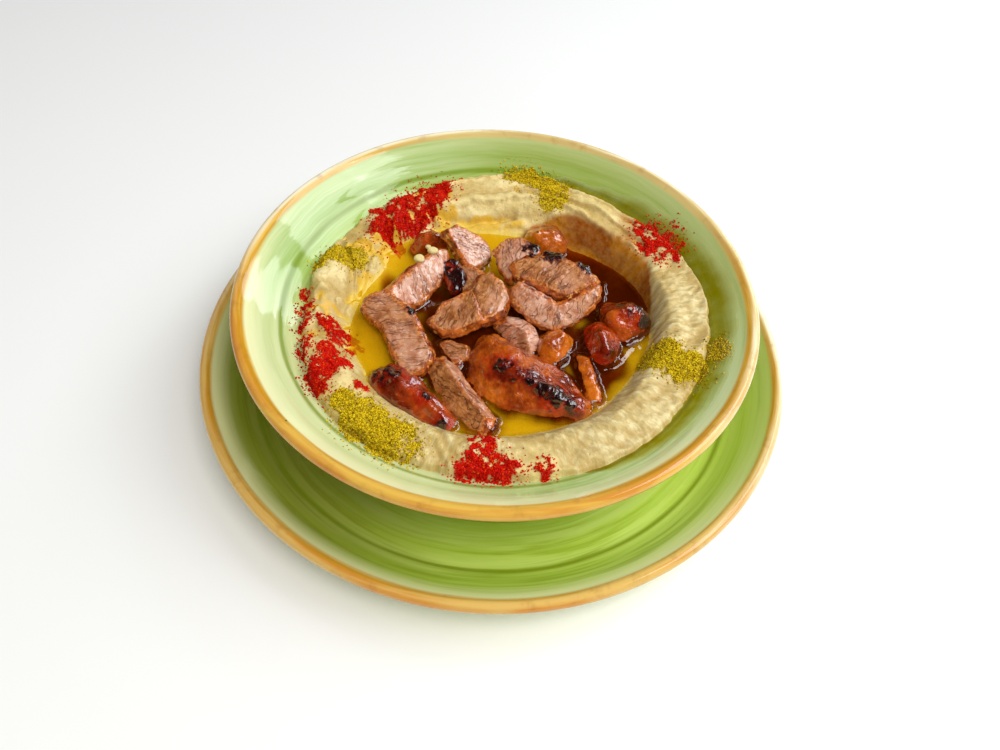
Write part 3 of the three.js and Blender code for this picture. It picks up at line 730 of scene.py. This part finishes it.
def scatter(name, spots, gaps, cover_seed, size, hummus, material, seed):
    """Loose eight-sided grains, lying on the hummus."""
    rng = np.random.default_rng(seed)
    x, y = grain_places(rng, spots, gaps, cover_seed)
    z = hummus.at(x, y)
    dry = z > OIL_LEVEL + 0.2
    x, y, z = x[dry], y[dry], z[dry]
    total = len(x)
    half = (size * (0.55 + 0.9 * rng.random(total)) / 2)[:, None]
    px, py, pz = grain_corners(rng, total)
    points = np.stack([x[:, None] + px * half, y[:, None] + py * half,
                       z[:, None] + 0.25 * half + pz * half], 2).reshape(-1, 3)
    sides = np.array([(0, 1, 4), (1, 2, 4), (2, 3, 4), (3, 0, 4), (1, 0, 5), (2, 1, 5), (3, 2, 5), (0, 3, 5)])
    faces = (sides[None] + 6 * np.arange(total)[:, None, None]).reshape(-1, 3)
    thing = add_mesh(name, points, faces, {"tone": np.repeat(rng.random(total), 6)})
    give(thing, material, slot="hummus")


def grain_material(name, dark, light, other):
    """Dull grains from dark to light, with one in ten of another colour."""
    n = Nodes(name)
    tone = n.attribute("tone")
    colour = n.mix(n.ramp(tone, 0.1, 0.8), dark, light)
    colour = n.mix(n.ramp(tone, 0.9, 0.92), colour, other)
    speckle = n.noise(n.place(), 2500.0, 2.0)
    colour = n.paint(colour, dark, n.ramp(speckle, 0.45, 0.7), 0.3)
    return n.finish(n.principled(Base_Color=colour, Roughness=n.ramp(speckle, 0.3, 0.7, 0.65, 0.9),
                                 Normal=n.bump(speckle, 0.4, 0.0002), Specular_IOR_Level=0.15))


# ---- Meat ----

# For each cut slice: the tone of its face from brown (0) to pale pink (1), the angle in degrees
# between its fibres and its length, and charred spots as (x, y, z, radius).
SLICES = {
    "slice_left_upper": (1.0, 60, [(-19, 17, 41, 4.0)]),
    "slice_middle": (0.12, 35, []),
    "slice_right_front": (0.42, 80, []),
    "slice_right_top": (0.12, 60, [(12.5, 22.5, 49, 3.6), (21, 22, 49.8, 5.2), (34.2, 16.2, 49.2, 4.4)]),
    "slice_right_flap": (0.4, 20, [(12.6, 25.8, 49.4, 4.2)]),
    "slice_back": (0.9, 25, []),
    "slice_behind_middle": (0.25, 20, [(-15, 14, 40, 2.5)]),
    "slice_front": (0.0, 15, []),
    "slice_small": (0.35, 30, []),
    "slice_under_middle": (0.45, 70, []),
    "strip_left": (0.38, 60, [(-32, -6, 42, 3.2)]),
}
# For each piece in a glazed crust: its tone from dark red (0) to amber (1), no angle, as it shows
# no fibres, and its charred spots.
CRUSTS = {
    "wedge_front": (0.6, 0, [(3.3, -31.5, 42, 4.2), (8, -35, 42, 2.4), (13.8, -37.2, 42, 3.0),
                             (19, -39.5, 41, 3.4), (24, -42, 40, 4.4), (28.6, -43.5, 38.5, 4.0)]),
    "strip_front_left": (0.3, 0, [(-38.8, -34, 39.5, 5.6), (-42.5, -33.5, 38, 5.0), (-17, -54.5, 36, 3.2),
                                  (-24, -45, 38, 2.4)]),
    "lump_right_back": (0.4, 0, [(49, 6, 41, 3.6), (56, 3.5, 40, 5.2), (60, -0.5, 38, 4.6)]),
    "lump_right_front": (0.1, 0, []),
    "lump_back": (0.3, 0, []),
    "lump_far": (0.9, 0, []),
    "lump_under_right": (0.95, 0, []),
    "piece_charred": (0.6, 0, [(-18.5, 20, 42, 6.0), (-16, 15, 42, 6.0), (-15, 10.5, 40, 5.0)]),
    "sliver_right": (1.0, 0, []),
}
PLUMPNESS = dict(sliced=0.6, glazed=0.9)      # how far the meat swells past its CAD form
ROUNDING = dict(sliced=3, glazed=8)           # how often its mesh is evened, which rounds its edges
MEAT_VOXEL = 0.4                              # how fine its mesh is
# Crumbs of hummus on the meat: x, y, z, length and width.
CRUMBS = [(-32.0, 18.4, 45.8, 4.4, 3.8), (-27.0, 22.6, 46.8, 4.8, 3.4), (-29.4, 27.6, 44.0, 2.4, 2.0)]
CRUMB_AROUND = 20
CRUMB_ROWS = 12


def remeshed(node, voxel):
    """An even mesh with the CAD node's form, as point and quad arrays in millimetres."""
    thing = bpy.data.objects.new("even", NODES[node].data.copy())
    bpy.context.scene.collection.objects.link(thing)
    modifier = thing.modifiers.new("even", "REMESH")
    modifier.mode = "VOXEL"
    modifier.voxel_size = voxel * MM
    even = thing.evaluated_get(bpy.context.evaluated_depsgraph_get())
    mesh = even.to_mesh()
    points = vertices(mesh)
    faces = np.array([polygon.vertices for polygon in mesh.polygons])
    even.to_mesh_clear()
    # this takes the object away with its mesh
    bpy.data.meshes.remove(thing.data)
    return points, faces


def vertex_normals(points, faces):
    """The way each point of a quad mesh faces."""
    a, b, c, d = (points[faces[:, k]] for k in range(4))
    face_normals = np.cross(c - a, d - b)
    normals = np.zeros_like(points)
    for k in range(4):
        np.add.at(normals, faces[:, k], face_normals)
    return normals / np.maximum(np.linalg.norm(normals, axis=1, keepdims=True), 1e-9)


def relax(values, faces, passes, strength=0.5):
    """Evens points, or any value held at them, over the quads' edges."""
    edges = np.vstack([faces[:, [0, 1]], faces[:, [1, 2]], faces[:, [2, 3]], faces[:, [3, 0]]])
    count = np.bincount(edges.ravel(), minlength=len(values)).astype(float)
    values = values.reshape(len(values), -1)
    for _ in range(passes):
        total = np.stack([np.bincount(edges[:, 0], column[edges[:, 1]], len(values))
                          + np.bincount(edges[:, 1], column[edges[:, 0]], len(values))
                          for column in values.T], 1)
        values = values + strength * (total / count[:, None] - values)
    return values


def cut_directions(node):
    """The way each broad upper side of a CAD piece faces."""
    groups = []
    for polygon in NODES[node].data.polygons:
        for group in groups:
            if polygon.normal.dot(group[0]) > 0.985:
                group[1] += polygon.area
                break
        else:
            groups.append([polygon.normal.copy(), polygon.area])
    upper = [group for group in groups if group[0].z > 0.35]
    largest = max(group[1] for group in upper)
    return [np.array(group[0]) for group in upper if group[1] > 0.4 * largest]


def cut_cover(normals, directions):
    """1 where the surface faces as a cut face does, 0 at its sides."""
    return np.max([smooth((normals @ direction - 0.82) / 0.12) for direction in directions], 0)


def along_fibres(points, face, fibre_angle):
    """The points seen from the piece's middle: along its fibres, across them and out of its face."""
    middle = points.mean(0)
    flat = (points - middle) - np.outer((points - middle) @ face, face)
    along = np.linalg.svd(flat, full_matrices=False)[2][0]
    across = np.cross(face, along)
    turn = math.radians(fibre_angle)
    fibre = math.cos(turn) * along + math.sin(turn) * across
    return (points - middle) @ np.array([fibre, np.cross(face, fibre), face]).T


def char_cover(points, spots, seed):
    """How charred each point is, and how near it is to a charred spot, both 0 to 1."""
    char, near = np.zeros(len(points)), np.zeros(len(points))
    ragged = 0.5 * noise(points, 2.4, seed + 1) + 0.35 * noise(points, 1.1, seed + 9)
    for x, y, z, radius in spots:
        away = np.linalg.norm(points - (x, y, z), axis=1) / radius
        char = np.maximum(char, smooth((1.1 - away + ragged) / 0.7))
        near = np.maximum(near, smooth((2.4 - away + ragged) / 1.4))
    return char, near


def sliced_relief(points, local, cut, seed):
    """Fine strands on the cut face, a rougher crust at its sides, and a soft swell."""
    strands = np.stack([local[:, 0] / 3.2, local[:, 1] / 1.4, local[:, 2] / 2.4], 1)
    return (cut * (0.28 * noise(strands, 1.0, seed + 2) + 0.14 * noise(local, 1.2, seed + 3))
            + (1 - cut) * (0.55 * noise(points, 2.6, seed + 4) + 0.28 * noise(points, 1.1, seed + 5))
            + 0.55 * noise(points, 7.0, seed + 6))


def glazed_relief(points, seed):
    """The lumps of a roast crust."""
    return (0.9 * noise(points, 7.0, seed + 2) + 0.42 * noise(points, 3.0, seed + 3)
            + 0.18 * noise(points, 1.3, seed + 4))


def make_meat(node, kind, tone, fibre_angle, chars, material, seed):
    sliced = kind == "sliced"
    points, faces = remeshed(node, MEAT_VOXEL)
    points = relax(points, faces, ROUNDING[kind])
    normals = vertex_normals(points, faces)
    points = points + PLUMPNESS[kind] * normals
    directions = cut_directions(node)
    face = np.mean(directions, 0)
    face /= np.linalg.norm(face)
    local = along_fibres(points, face, fibre_angle)
    cut = cut_cover(normals, directions) if sliced else np.zeros(len(points))
    inner = relax(cut, faces, 40)[:, 0]
    ragged = 0.16 * noise(points, 3.0, seed) + 0.1 * noise(points, 1.2, seed + 10)
    rim = (1 - smooth((inner + ragged - 0.66) / 0.32)) * smooth(0.75 + 1.1 * noise(points, 8.0, seed + 13))
    char, near_char = char_cover(points, chars, seed)
    relief = sliced_relief(points, local, cut, seed) if sliced else glazed_relief(points, seed)
    relief += char * (0.1 + 0.35 * noise(points, 1.3, seed + 7))
    points = points + relief[:, None] * normals
    wet = smooth((OIL_LEVEL + 2.4 + 1.2 * noise(points, 4.0, seed + 8) - points[:, 2]) / 3.0)
    tones = np.clip(tone + 0.4 * noise(points, 9.0, seed + 11) + 0.2 * noise(points, 3.5, seed + 12), 0, 1)
    if not sliced:
        tones = tones * (1 - 0.9 * near_char)
    elif len(directions) > 1:
        # painted light: where a slice is folded, its right-hand half, which faces the lamps, is painted paler
        directions.sort(key=lambda direction: direction[0])
        toward_lit_side = normals @ (directions[-1] - directions[0])
        tones = np.clip(tones + 0.45 * smooth(0.5 + 4.0 * toward_lit_side), 0, 1)
    fields = dict(cut=cut, rim=rim, char=char, wet=wet, tone=tones, grain=local)
    thing = add_mesh("meat_" + node, points, faces, fields)
    give(thing, material, node, slot="pale_meat" if sliced else "glazed_meat")
    return thing


def charred(n, colour, roughness):
    """Blackens the charred spots and makes them glisten."""
    fine = n.noise(n.place(), 650.0, 4.0, 0.6)
    char = n.times(n.attribute("char"), n.ramp(fine, 0.3, 0.62, 0.55, 1.15))
    black = n.mix(n.ramp(fine, 0.4, 0.7), rgb(8, 5, 7), rgb(58, 26, 24))
    colour = n.paint(colour, rgb(88, 12, 5), n.ramp(char, 0.02, 0.5), 0.9)
    colour = n.paint(colour, black, n.ramp(char, 0.42, 0.85))
    return colour, n.blend(char, roughness, 0.18)


def sliced_material():
    """Cut roast meat: fibrous pale faces with a browned rim, and an orange-brown crust."""
    n = Nodes("sliced_meat")
    where = n.place()
    local = n.attribute("grain", "Vector")
    tone, cut, wet = n.attribute("tone"), n.attribute("cut"), n.attribute("wet")
    warp = n.noise(local, 0.16, 2.0, 0.5, output="Color")
    bent = n.vector("ADD", local, n.vector("SCALE", warp, 5.0))
    fibre = n.noise(n.vector("MULTIPLY", bent, (0.5, 1.4, 0.9)), 1.0, 4.0, 0.65, 0.4)
    seams = n.noise(n.vector("MULTIPLY", bent, (0.045, 0.42, 0.2)), 1.0, 1.0, 0.5, 0.5)
    mottle = n.noise(local, 0.24, 3.0, 0.6)
    fine = n.noise(where, 900.0, 3.0, 0.6)
    ragged = n.noise(where, 420.0, 3.0, 0.6)
    # the cut face
    brown = n.mix(n.ramp(mottle, 0.35, 0.65), rgb(140, 74, 28), rgb(196, 126, 66))
    pink = n.mix(n.ramp(mottle, 0.35, 0.65), rgb(208, 138, 104), rgb(238, 188, 164))
    dark = n.mix(tone, rgb(86, 36, 12), rgb(126, 68, 52))
    light = n.mix(tone, rgb(216, 160, 110), rgb(246, 220, 210))
    face = n.paint(n.mix(tone, brown, pink), dark, n.ramp(fibre, 0.46, 0.34), 0.32)
    face = n.paint(face, light, n.ramp(fibre, 0.54, 0.68), 0.55)
    seam = n.ramp(n.math("ABSOLUTE", n.minus(seams, 0.5)), 0.022, 0.006)
    face = n.paint(face, n.mix(tone, rgb(66, 24, 8), rgb(96, 40, 26)), seam, 0.6)
    # the crust, and the rim between the two
    crust = n.mix(n.ramp(n.noise(where, 260.0, 4.0), 0.36, 0.62), rgb(118, 40, 8), rgb(204, 106, 36))
    crust = n.paint(crust, rgb(238, 166, 92), n.ramp(ragged, 0.56, 0.68))
    browned = n.mix(n.ramp(fine, 0.4, 0.6), rgb(168, 72, 18), rgb(232, 148, 74))
    face = n.paint(face, browned, n.attribute("rim"), n.ramp(ragged, 0.36, 0.56, 0.4, 1.0))
    colour = n.paint(n.mix(cut, crust, face), rgb(140, 66, 6), wet, 0.65)
    roughness = n.blend(wet, n.blend(cut, 0.20, 0.27), 0.10)
    colour, roughness = charred(n, colour, roughness)
    height = n.blend(cut, n.noise(where, 360.0, 4.0), n.blend(0.6, fibre, n.noise(where, 700.0, 3.0)))
    height = n.minus(height, n.times(seam, cut, 0.45))
    return n.finish(n.principled(Base_Color=colour, Roughness=roughness, Normal=n.bump(height, 0.9, 0.0008),
                                 Specular_IOR_Level=0.65, Subsurface_Weight=0.06,
                                 Subsurface_Radius=(1.0, 0.4, 0.25), Subsurface_Scale=0.0012,
                                 Coat_Weight=0.6, Coat_Roughness=0.12, Coat_IOR=1.8))


def glazed_material():
    """Glazed roast crust: dark red to amber, lumpy and wet."""
    n = Nodes("glazed_meat")
    where = n.place()
    broad = n.noise(where, 95.0, 3.0, 0.55)
    fine = n.noise(where, 420.0, 4.0, 0.6)
    tone = n.attribute("tone")
    dark = n.mix(tone, rgb(78, 3, 1), rgb(150, 54, 4))
    light = n.mix(tone, rgb(176, 34, 4), rgb(230, 124, 24))
    colour = n.mix(n.ramp(n.blend(0.25, broad, fine), 0.34, 0.66), dark, light)
    colour = n.paint(colour, rgb(244, 150, 54), n.ramp(fine, 0.60, 0.72), 0.5, tone)
    colour = n.paint(colour, rgb(140, 54, 2), n.attribute("wet"), 0.5)
    colour, roughness = charred(n, colour, n.ramp(fine, 0.3, 0.7, 0.12, 0.26))
    height = n.blend(0.35, n.noise(where, 240.0, 3.0), fine)
    height = n.blend(0.3, height, n.noise(where, 950.0, 2.0))
    return n.finish(n.principled(Base_Color=colour, Roughness=roughness, Normal=n.bump(height, 0.9, 0.0016),
                                 Specular_IOR_Level=0.7, Subsurface_Weight=0.08,
                                 Subsurface_Radius=(1.0, 0.3, 0.1), Subsurface_Scale=0.0012,
                                 Coat_Weight=1.0, Coat_Roughness=0.05, Coat_IOR=1.8))


def make_all_meat():
    pieces = []
    kinds = [("sliced", SLICES, sliced_material()), ("glazed", CRUSTS, glazed_material())]
    for kind, table, material in kinds:
        for node, (tone, fibre_angle, chars) in table.items():
            seed = 100 + 10 * len(pieces)
            pieces.append(make_meat(node, kind, tone, fibre_angle, chars, material, seed))
    return pieces


def make_crumbs(material):
    """Small round crumbs of hummus lying on the meat."""
    slope = np.linspace(0, math.pi, CRUMB_ROWS)[:, None]
    turn = np.arange(CRUMB_AROUND)[None] * 2 * math.pi / CRUMB_AROUND
    ball = np.stack([np.sin(slope) * np.cos(turn), np.sin(slope) * np.sin(turn), np.cos(slope) + 0 * turn], 2)
    ball = ball.reshape(-1, 3)
    points, faces = [], []
    for number, (x, y, z, length, width) in enumerate(CRUMBS):
        lump = ball * (1 + 0.16 * noise(ball, 0.8, 300 + number)[:, None])
        faces.append(grid_faces(CRUMB_ROWS, CRUMB_AROUND)[:, ::-1] + number * len(ball))
        points.append(lump * (length / 2, width / 2, width / 2.4) + (x, y, z))
    fields = dict.fromkeys(HUMMUS_FIELDS, np.zeros(len(CRUMBS) * len(ball)))
    thing = add_mesh("hummus_crumbs", np.vstack(points), np.vstack(faces), fields)
    give(thing, material, slot="hummus")


# ---- Oil ----

# Where brown meat juices have run into the oil; the same patches are painted shade that darkens
# the oil in the middle, between and under the meat.
JUICE_AND_SHADE = [(50, 14, 24, 30, 0), (36, 32, 22, 16, -40), (0, -4, 44, 34, -20), (40, -20, 14, 16, 0),
         (-41, 2, 7, 26, 12)]
# Thick beads of oil standing off the meat, as lines of (x, y).
BEADS = [
    [(46, 7.2), (44.6, 1.7), (41.6, -3.9), (36.7, -7.5), (33.4, -13.9), (27.9, -19.4), (21, -23.9)],
    [(35.4, -14.8), (35.9, -24.7), (36.8, -33.3), (38.1, -42.6)],
    [(45.6, -21), (49.7, -16.7), (52.3, -11.4), (56.4, -9.6)],
    [(0.4, -57.3), (2.4, -53.2), (2.9, -48.7)],
    [(44.2, 23.6), (43.4, 13.7), (42, 7.4)],
]
BEAD_HEIGHT = 0.68
BEAD_WIDTH = 2.0
MENISCUS = 1.7              # how far oil climbs the meat
POOL_STEP = 0.45            # the square grid the pool is cut from: its step, half its side,
POOL_HALF = 66
POOL_REACH = 65             # and how far from the middle it is used
# The film of oil by the wall: where it starts and ends in degrees round from +X, its width and
# depth in the middle, how far it reaches in under the hummus's edge, and its rows of points.
FILM_START = -66
FILM_END = 76
FILM_WIDTH = 9.5
FILM_DEPTH = 0.3
FILM_OVERLAP = 0.6
FILM_ACROSS = 26
FILM_ALONG = 260


def oil_material():
    """Clear golden oil, browner where it is deep and where meat juices have run into it, and browner as
    painted shade in the middle and round each piece of meat.
    """
    n = Nodes("oil")
    depth, juice_and_shade = n.attribute("depth"), n.attribute("juice_and_shade")
    thin_oil_and_side_shading = n.mix(juice_and_shade, rgb(255, 250, 180), rgb(236, 180, 60))
    deep = n.mix(juice_and_shade, rgb(255, 242, 108), rgb(156, 80, 4))
    tint = n.mix(n.ramp(depth, 0.0, 3.0, soft=False), thin_oil_and_side_shading, deep)
    swirl = n.noise(n.place(), 70.0, 3.0)
    tint = n.paint(tint, rgb(250, 216, 76), n.ramp(swirl, 0.45, 0.7), 0.4)
    glow = n.mix(juice_and_shade, rgb(236, 186, 20), rgb(88, 30, 1))
    body = n.principled(Base_Color=glow, Roughness=0.03, Normal=n.bump(swirl, 0.05, 0.0004), IOR=1.47,
                        Specular_IOR_Level=1.0, Coat_Weight=1.0, Coat_Roughness=0.02, Coat_IOR=2.0)
    return n.finish(n.see_through(tint, body, n.ramp(depth, 0.0, 4.0, 0.26, 0.40, soft=False)))


def film_material():
    """The same oil spread as a film: a yellow tint with a wet shine."""
    n = Nodes("oil_film")
    streak = n.ramp(n.noise(n.place(), 140.0, 3.0), 0.3, 0.7, 0.7, 1.0)
    tint = n.mix(n.times(n.attribute("depth"), streak), rgb(250, 250, 225), rgb(216, 200, 3))
    body = n.principled(Base_Color=tint, Roughness=0.04, IOR=1.47)
    return n.finish(n.see_through(tint, body, 0.12))


def rounded(line):
    """The same line with its corners cut twice."""
    for _ in range(2):
        cut = [line[0]]
        for (ax, ay), (bx, by) in zip(line[:-1], line[1:]):
            cut.append((0.75 * ax + 0.25 * bx, 0.75 * ay + 0.25 * by))
            cut.append((0.25 * ax + 0.75 * bx, 0.25 * ay + 0.75 * by))
        line = cut + [line[-1]]
    return line


def neighbours(grid):
    """The grid moved by one cell each way."""
    return [np.roll(grid, shift, axis) for axis in (0, 1) for shift in (1, -1)]


def under_pool(x, y, hummus, pieces):
    """Under each point: the height of what lies there, where it is solid, and where that is meat."""
    top = hummus.at(x, y)
    solid = top > OIL_LEVEL + 0.4
    meat = np.zeros(len(x))
    for piece in pieces:
        corners = vertices(piece.data)
        low, high = corners.min(0) - 0.5, corners.max(0) + 0.5
        tree = ray_tree(piece.data)
        for k in np.nonzero((x > low[0]) & (x < high[0]) & (y > low[1]) & (y < high[1]))[0]:
            place, normal, _, _ = tree.ray_cast(Vector((x[k] * MM, y[k] * MM, OIL_LEVEL * MM + 1e-6)), DOWN)
            if place is None:
                continue
            if normal.z < 0:
                solid[k] = True
                meat[k] = 1.0
            else:
                top[k] = max(top[k], place.z / MM)
    return top, solid, meat


def pool_faces(x, y, solid):
    """The grid's quads that oil covers, and one row more that goes into what stands round it."""
    index = np.arange(solid.size).reshape(solid.shape)
    corners = [index[:-1, :-1], index[1:, :-1], index[1:, 1:], index[:-1, 1:]]
    wet = ~np.logical_and.reduce([solid.ravel()[corner] for corner in corners])
    grown = np.logical_or.reduce([wet, *neighbours(wet)])
    grown &= np.hypot(x, y)[corners[0]] < POOL_REACH
    return np.stack([corner[grown] for corner in corners], 1)


def make_oil(hummus, pieces):
    """A level pool that climbs a little where it meets the meat, with raised beads in it and painted shade
    round the meat.
    """
    ticks = np.arange(-POOL_HALF, POOL_HALF + POOL_STEP, POOL_STEP)
    shape = (len(ticks), len(ticks))
    x, y = (values.ravel() for values in np.meshgrid(ticks, ticks, indexing="ij"))
    top, solid, meat = under_pool(x, y, hummus, pieces)
    near = meat.reshape(shape)
    for _ in range(9):
        near = np.maximum(near, 0.8 * np.maximum.reduce(neighbours(near)))
    for _ in range(2):
        near = sum(neighbours(near), near) / 5
    near = near.ravel()
    flat = level(x, y)
    height = OIL_LEVEL + MENISCUS * near ** 2.3 + 0.05 * noise(flat, 7.0, 40)
    wobble = 0.8 * noise(flat, 3.6, 42)
    for line in BEADS:
        height += BEAD_HEIGHT * smooth(1 - (line_distance(x, y, rounded(line)) + wobble) / BEAD_WIDTH)
    depth = np.clip(OIL_LEVEL - top, 0, 6)
    # meat juices, and painted shade in the middle of the pool and close round each piece of meat
    juice_and_shade = smooth(2.4 * patches(x, y, JUICE_AND_SHADE) + 0.9 * near + 0.3 * noise(flat, 6.0, 41))
    faces = pool_faces(x, y, solid.reshape(shape))
    used, inverse = np.unique(faces, return_inverse=True)
    points = np.stack([x, y, height], 1)[used]
    fields = dict(depth=depth[used], juice_and_shade=juice_and_shade[used])
    thing = add_mesh("oil_pool", points, inverse.reshape(faces.shape), fields)
    give(thing, oil_material(), *[name for name in NODES if name.startswith("oil_pool")], slot="oil")


def make_oil_film(hummus):
    """A thin film of oil that has run between the hummus and the wall on the right."""
    start, end = math.radians(FILM_START), math.radians(FILM_END)
    angles = np.linspace(start, end, FILM_ALONG)
    fade = np.sin((angles - start) / (end - start) * math.pi) ** 0.5
    circle = level(40 * np.cos(angles), 40 * np.sin(angles))
    edge = np.interp(angles, np.append(hummus.angles - 2 * math.pi, hummus.angles),
                     np.append(hummus.edge, hummus.edge))
    width = fade * (FILM_WIDTH + 1.2 * noise(circle, 9.0, 60) + 0.6 * noise(circle, 3.0, 61))
    share = np.linspace(0, 1, FILM_ACROSS)[:, None]
    radius = edge[None] - FILM_OVERLAP + share * (width[None] + FILM_OVERLAP)
    depth = FILM_DEPTH * np.sin((share * 0.5 + 0.5) * math.pi).clip(0) ** 0.6 * fade[None] + 0.03
    z = inside_height(BOWL, radius) + depth
    points = np.stack([radius * np.cos(angles), radius * np.sin(angles), z], 2).reshape(-1, 3)
    faces = grid_faces(FILM_ACROSS, FILM_ALONG, closed=False)
    thick = np.repeat(1 - smooth((share - 0.4) / 0.6), FILM_ALONG)
    thing = add_mesh("oil_film", points, faces[:, ::-1], {"depth": thick})
    give(thing, film_material(), slot="oil")


# ---- Scene ----

# The camera stands over the near side and looks down into the bowl.
CAMERA_PLACE = (0.0, -0.22914, 0.28480)
CAMERA_TURN = (38.500, -2.496, 2.326)     # degrees about X, Y and Z
FOCAL_PIXELS = 850
IMAGE_WIDTH = 1000
SENSOR = 36.0

# A window of two tall panes and a low one on the right, and a soft glow. For each light: its
# direction (degrees round from +X, degrees up), size, power, colour, and whether it is reflected.
LIGHTS = {
    "pane_0": ((24, 47), (0.37, 0.60), 3.6, (0.94, 0.975, 1.0), True),
    "pane_1": ((-8, 48), (0.37, 0.60), 3.6, (0.94, 0.975, 1.0), True),
    "low_pane": ((50, 25), (0.34, 0.30), 1.5, (0.84, 0.93, 1.0), True),
    "glow": ((-62, 60), (0.6, 0.6), 7.6, (1.0, 0.98, 0.92), False),
}
LIGHT_DISTANCE = 1.15
AIM = Vector((0, 0, 0.03))                # what the lights point at
WORLD_LIGHT = 0.36
FLOOR_HALF = 3.0
FLOOR_COLOURS = [(0.90, 0.90, 0.895, 1), (0.94, 0.94, 0.935, 1)]


def make_camera():
    data = bpy.data.cameras.new("camera")
    data.sensor_width = SENSOR
    data.lens = SENSOR * FOCAL_PIXELS / IMAGE_WIDTH
    data.clip_start = 0.01
    camera = bpy.data.objects.new("camera", data)
    camera.location = CAMERA_PLACE
    camera.rotation_euler = [math.radians(v) for v in CAMERA_TURN]
    bpy.context.scene.collection.objects.link(camera)
    bpy.context.scene.camera = camera


def area_light(name, direction, size, power, colour, reflected):
    """A rectangular light in the given direction, aimed at the bowl."""
    around, up = (math.radians(v) for v in direction)
    data = bpy.data.lights.new(name, "AREA")
    data.shape = "RECTANGLE"
    data.size, data.size_y = size
    data.energy = power
    data.color = colour
    light = bpy.data.objects.new(name, data)
    toward = Vector((math.cos(up) * math.cos(around), math.cos(up) * math.sin(around), math.sin(up)))
    light.location = AIM + LIGHT_DISTANCE * toward
    light.rotation_euler = (-toward).to_track_quat("-Z", "Y").to_euler()
    light.visible_glossy = reflected
    bpy.context.scene.collection.objects.link(light)


def make_floor():
    mesh = bpy.data.meshes.new("floor")
    corners = [(x * FLOOR_HALF, y * FLOOR_HALF, 0) for x, y in ((-1, -1), (1, -1), (1, 1), (-1, 1))]
    mesh.from_pydata(corners, [], [(0, 1, 2, 3)])
    floor = bpy.data.objects.new("floor", mesh)
    bpy.context.scene.collection.objects.link(floor)
    n = Nodes("floor")
    colour = n.mix(n.noise(n.place(), 3.0, 2.0), *FLOOR_COLOURS)
    floor.data.materials.append(n.finish(n.principled(Base_Color=colour, Roughness=0.6)))


def make_lights():
    world = bpy.data.worlds.new("studio")
    world.use_nodes = True
    background = world.node_tree.nodes["Background"]
    background.inputs["Color"].default_value = (1.0, 1.0, 1.0, 1.0)
    background.inputs["Strength"].default_value = WORLD_LIGHT
    world.cycles_visibility.glossy = False
    bpy.context.scene.world = world
    for name, values in LIGHTS.items():
        area_light(name, *values)
    bpy.context.scene.view_settings.view_transform = "Standard"
    bpy.context.scene.view_settings.look = "None"


def make_spices(hummus):
    paprika = grain_material("paprika", rgb(176, 6, 1), rgb(222, 24, 4), rgb(226, 84, 10))
    herbs = grain_material("herbs", rgb(162, 132, 4), rgb(238, 206, 30), rgb(108, 80, 4))
    scatter("paprika_grains", PAPRIKA, PAPRIKA_GAPS, PAPRIKA_SEED, PAPRIKA_GRAIN, hummus, paprika, 1)
    scatter("herb_grains", HERBS, HERB_GAPS, HERB_SEED, HERB_GRAIN, hummus, herbs, 2)


make_camera()
make_floor()
make_lights()
make_dishes()
ring = Hummus()
paste = ring.build()
make_spices(ring)
meat = make_all_meat()
make_crumbs(paste)
make_oil(ring, meat)
make_oil_film(ring)
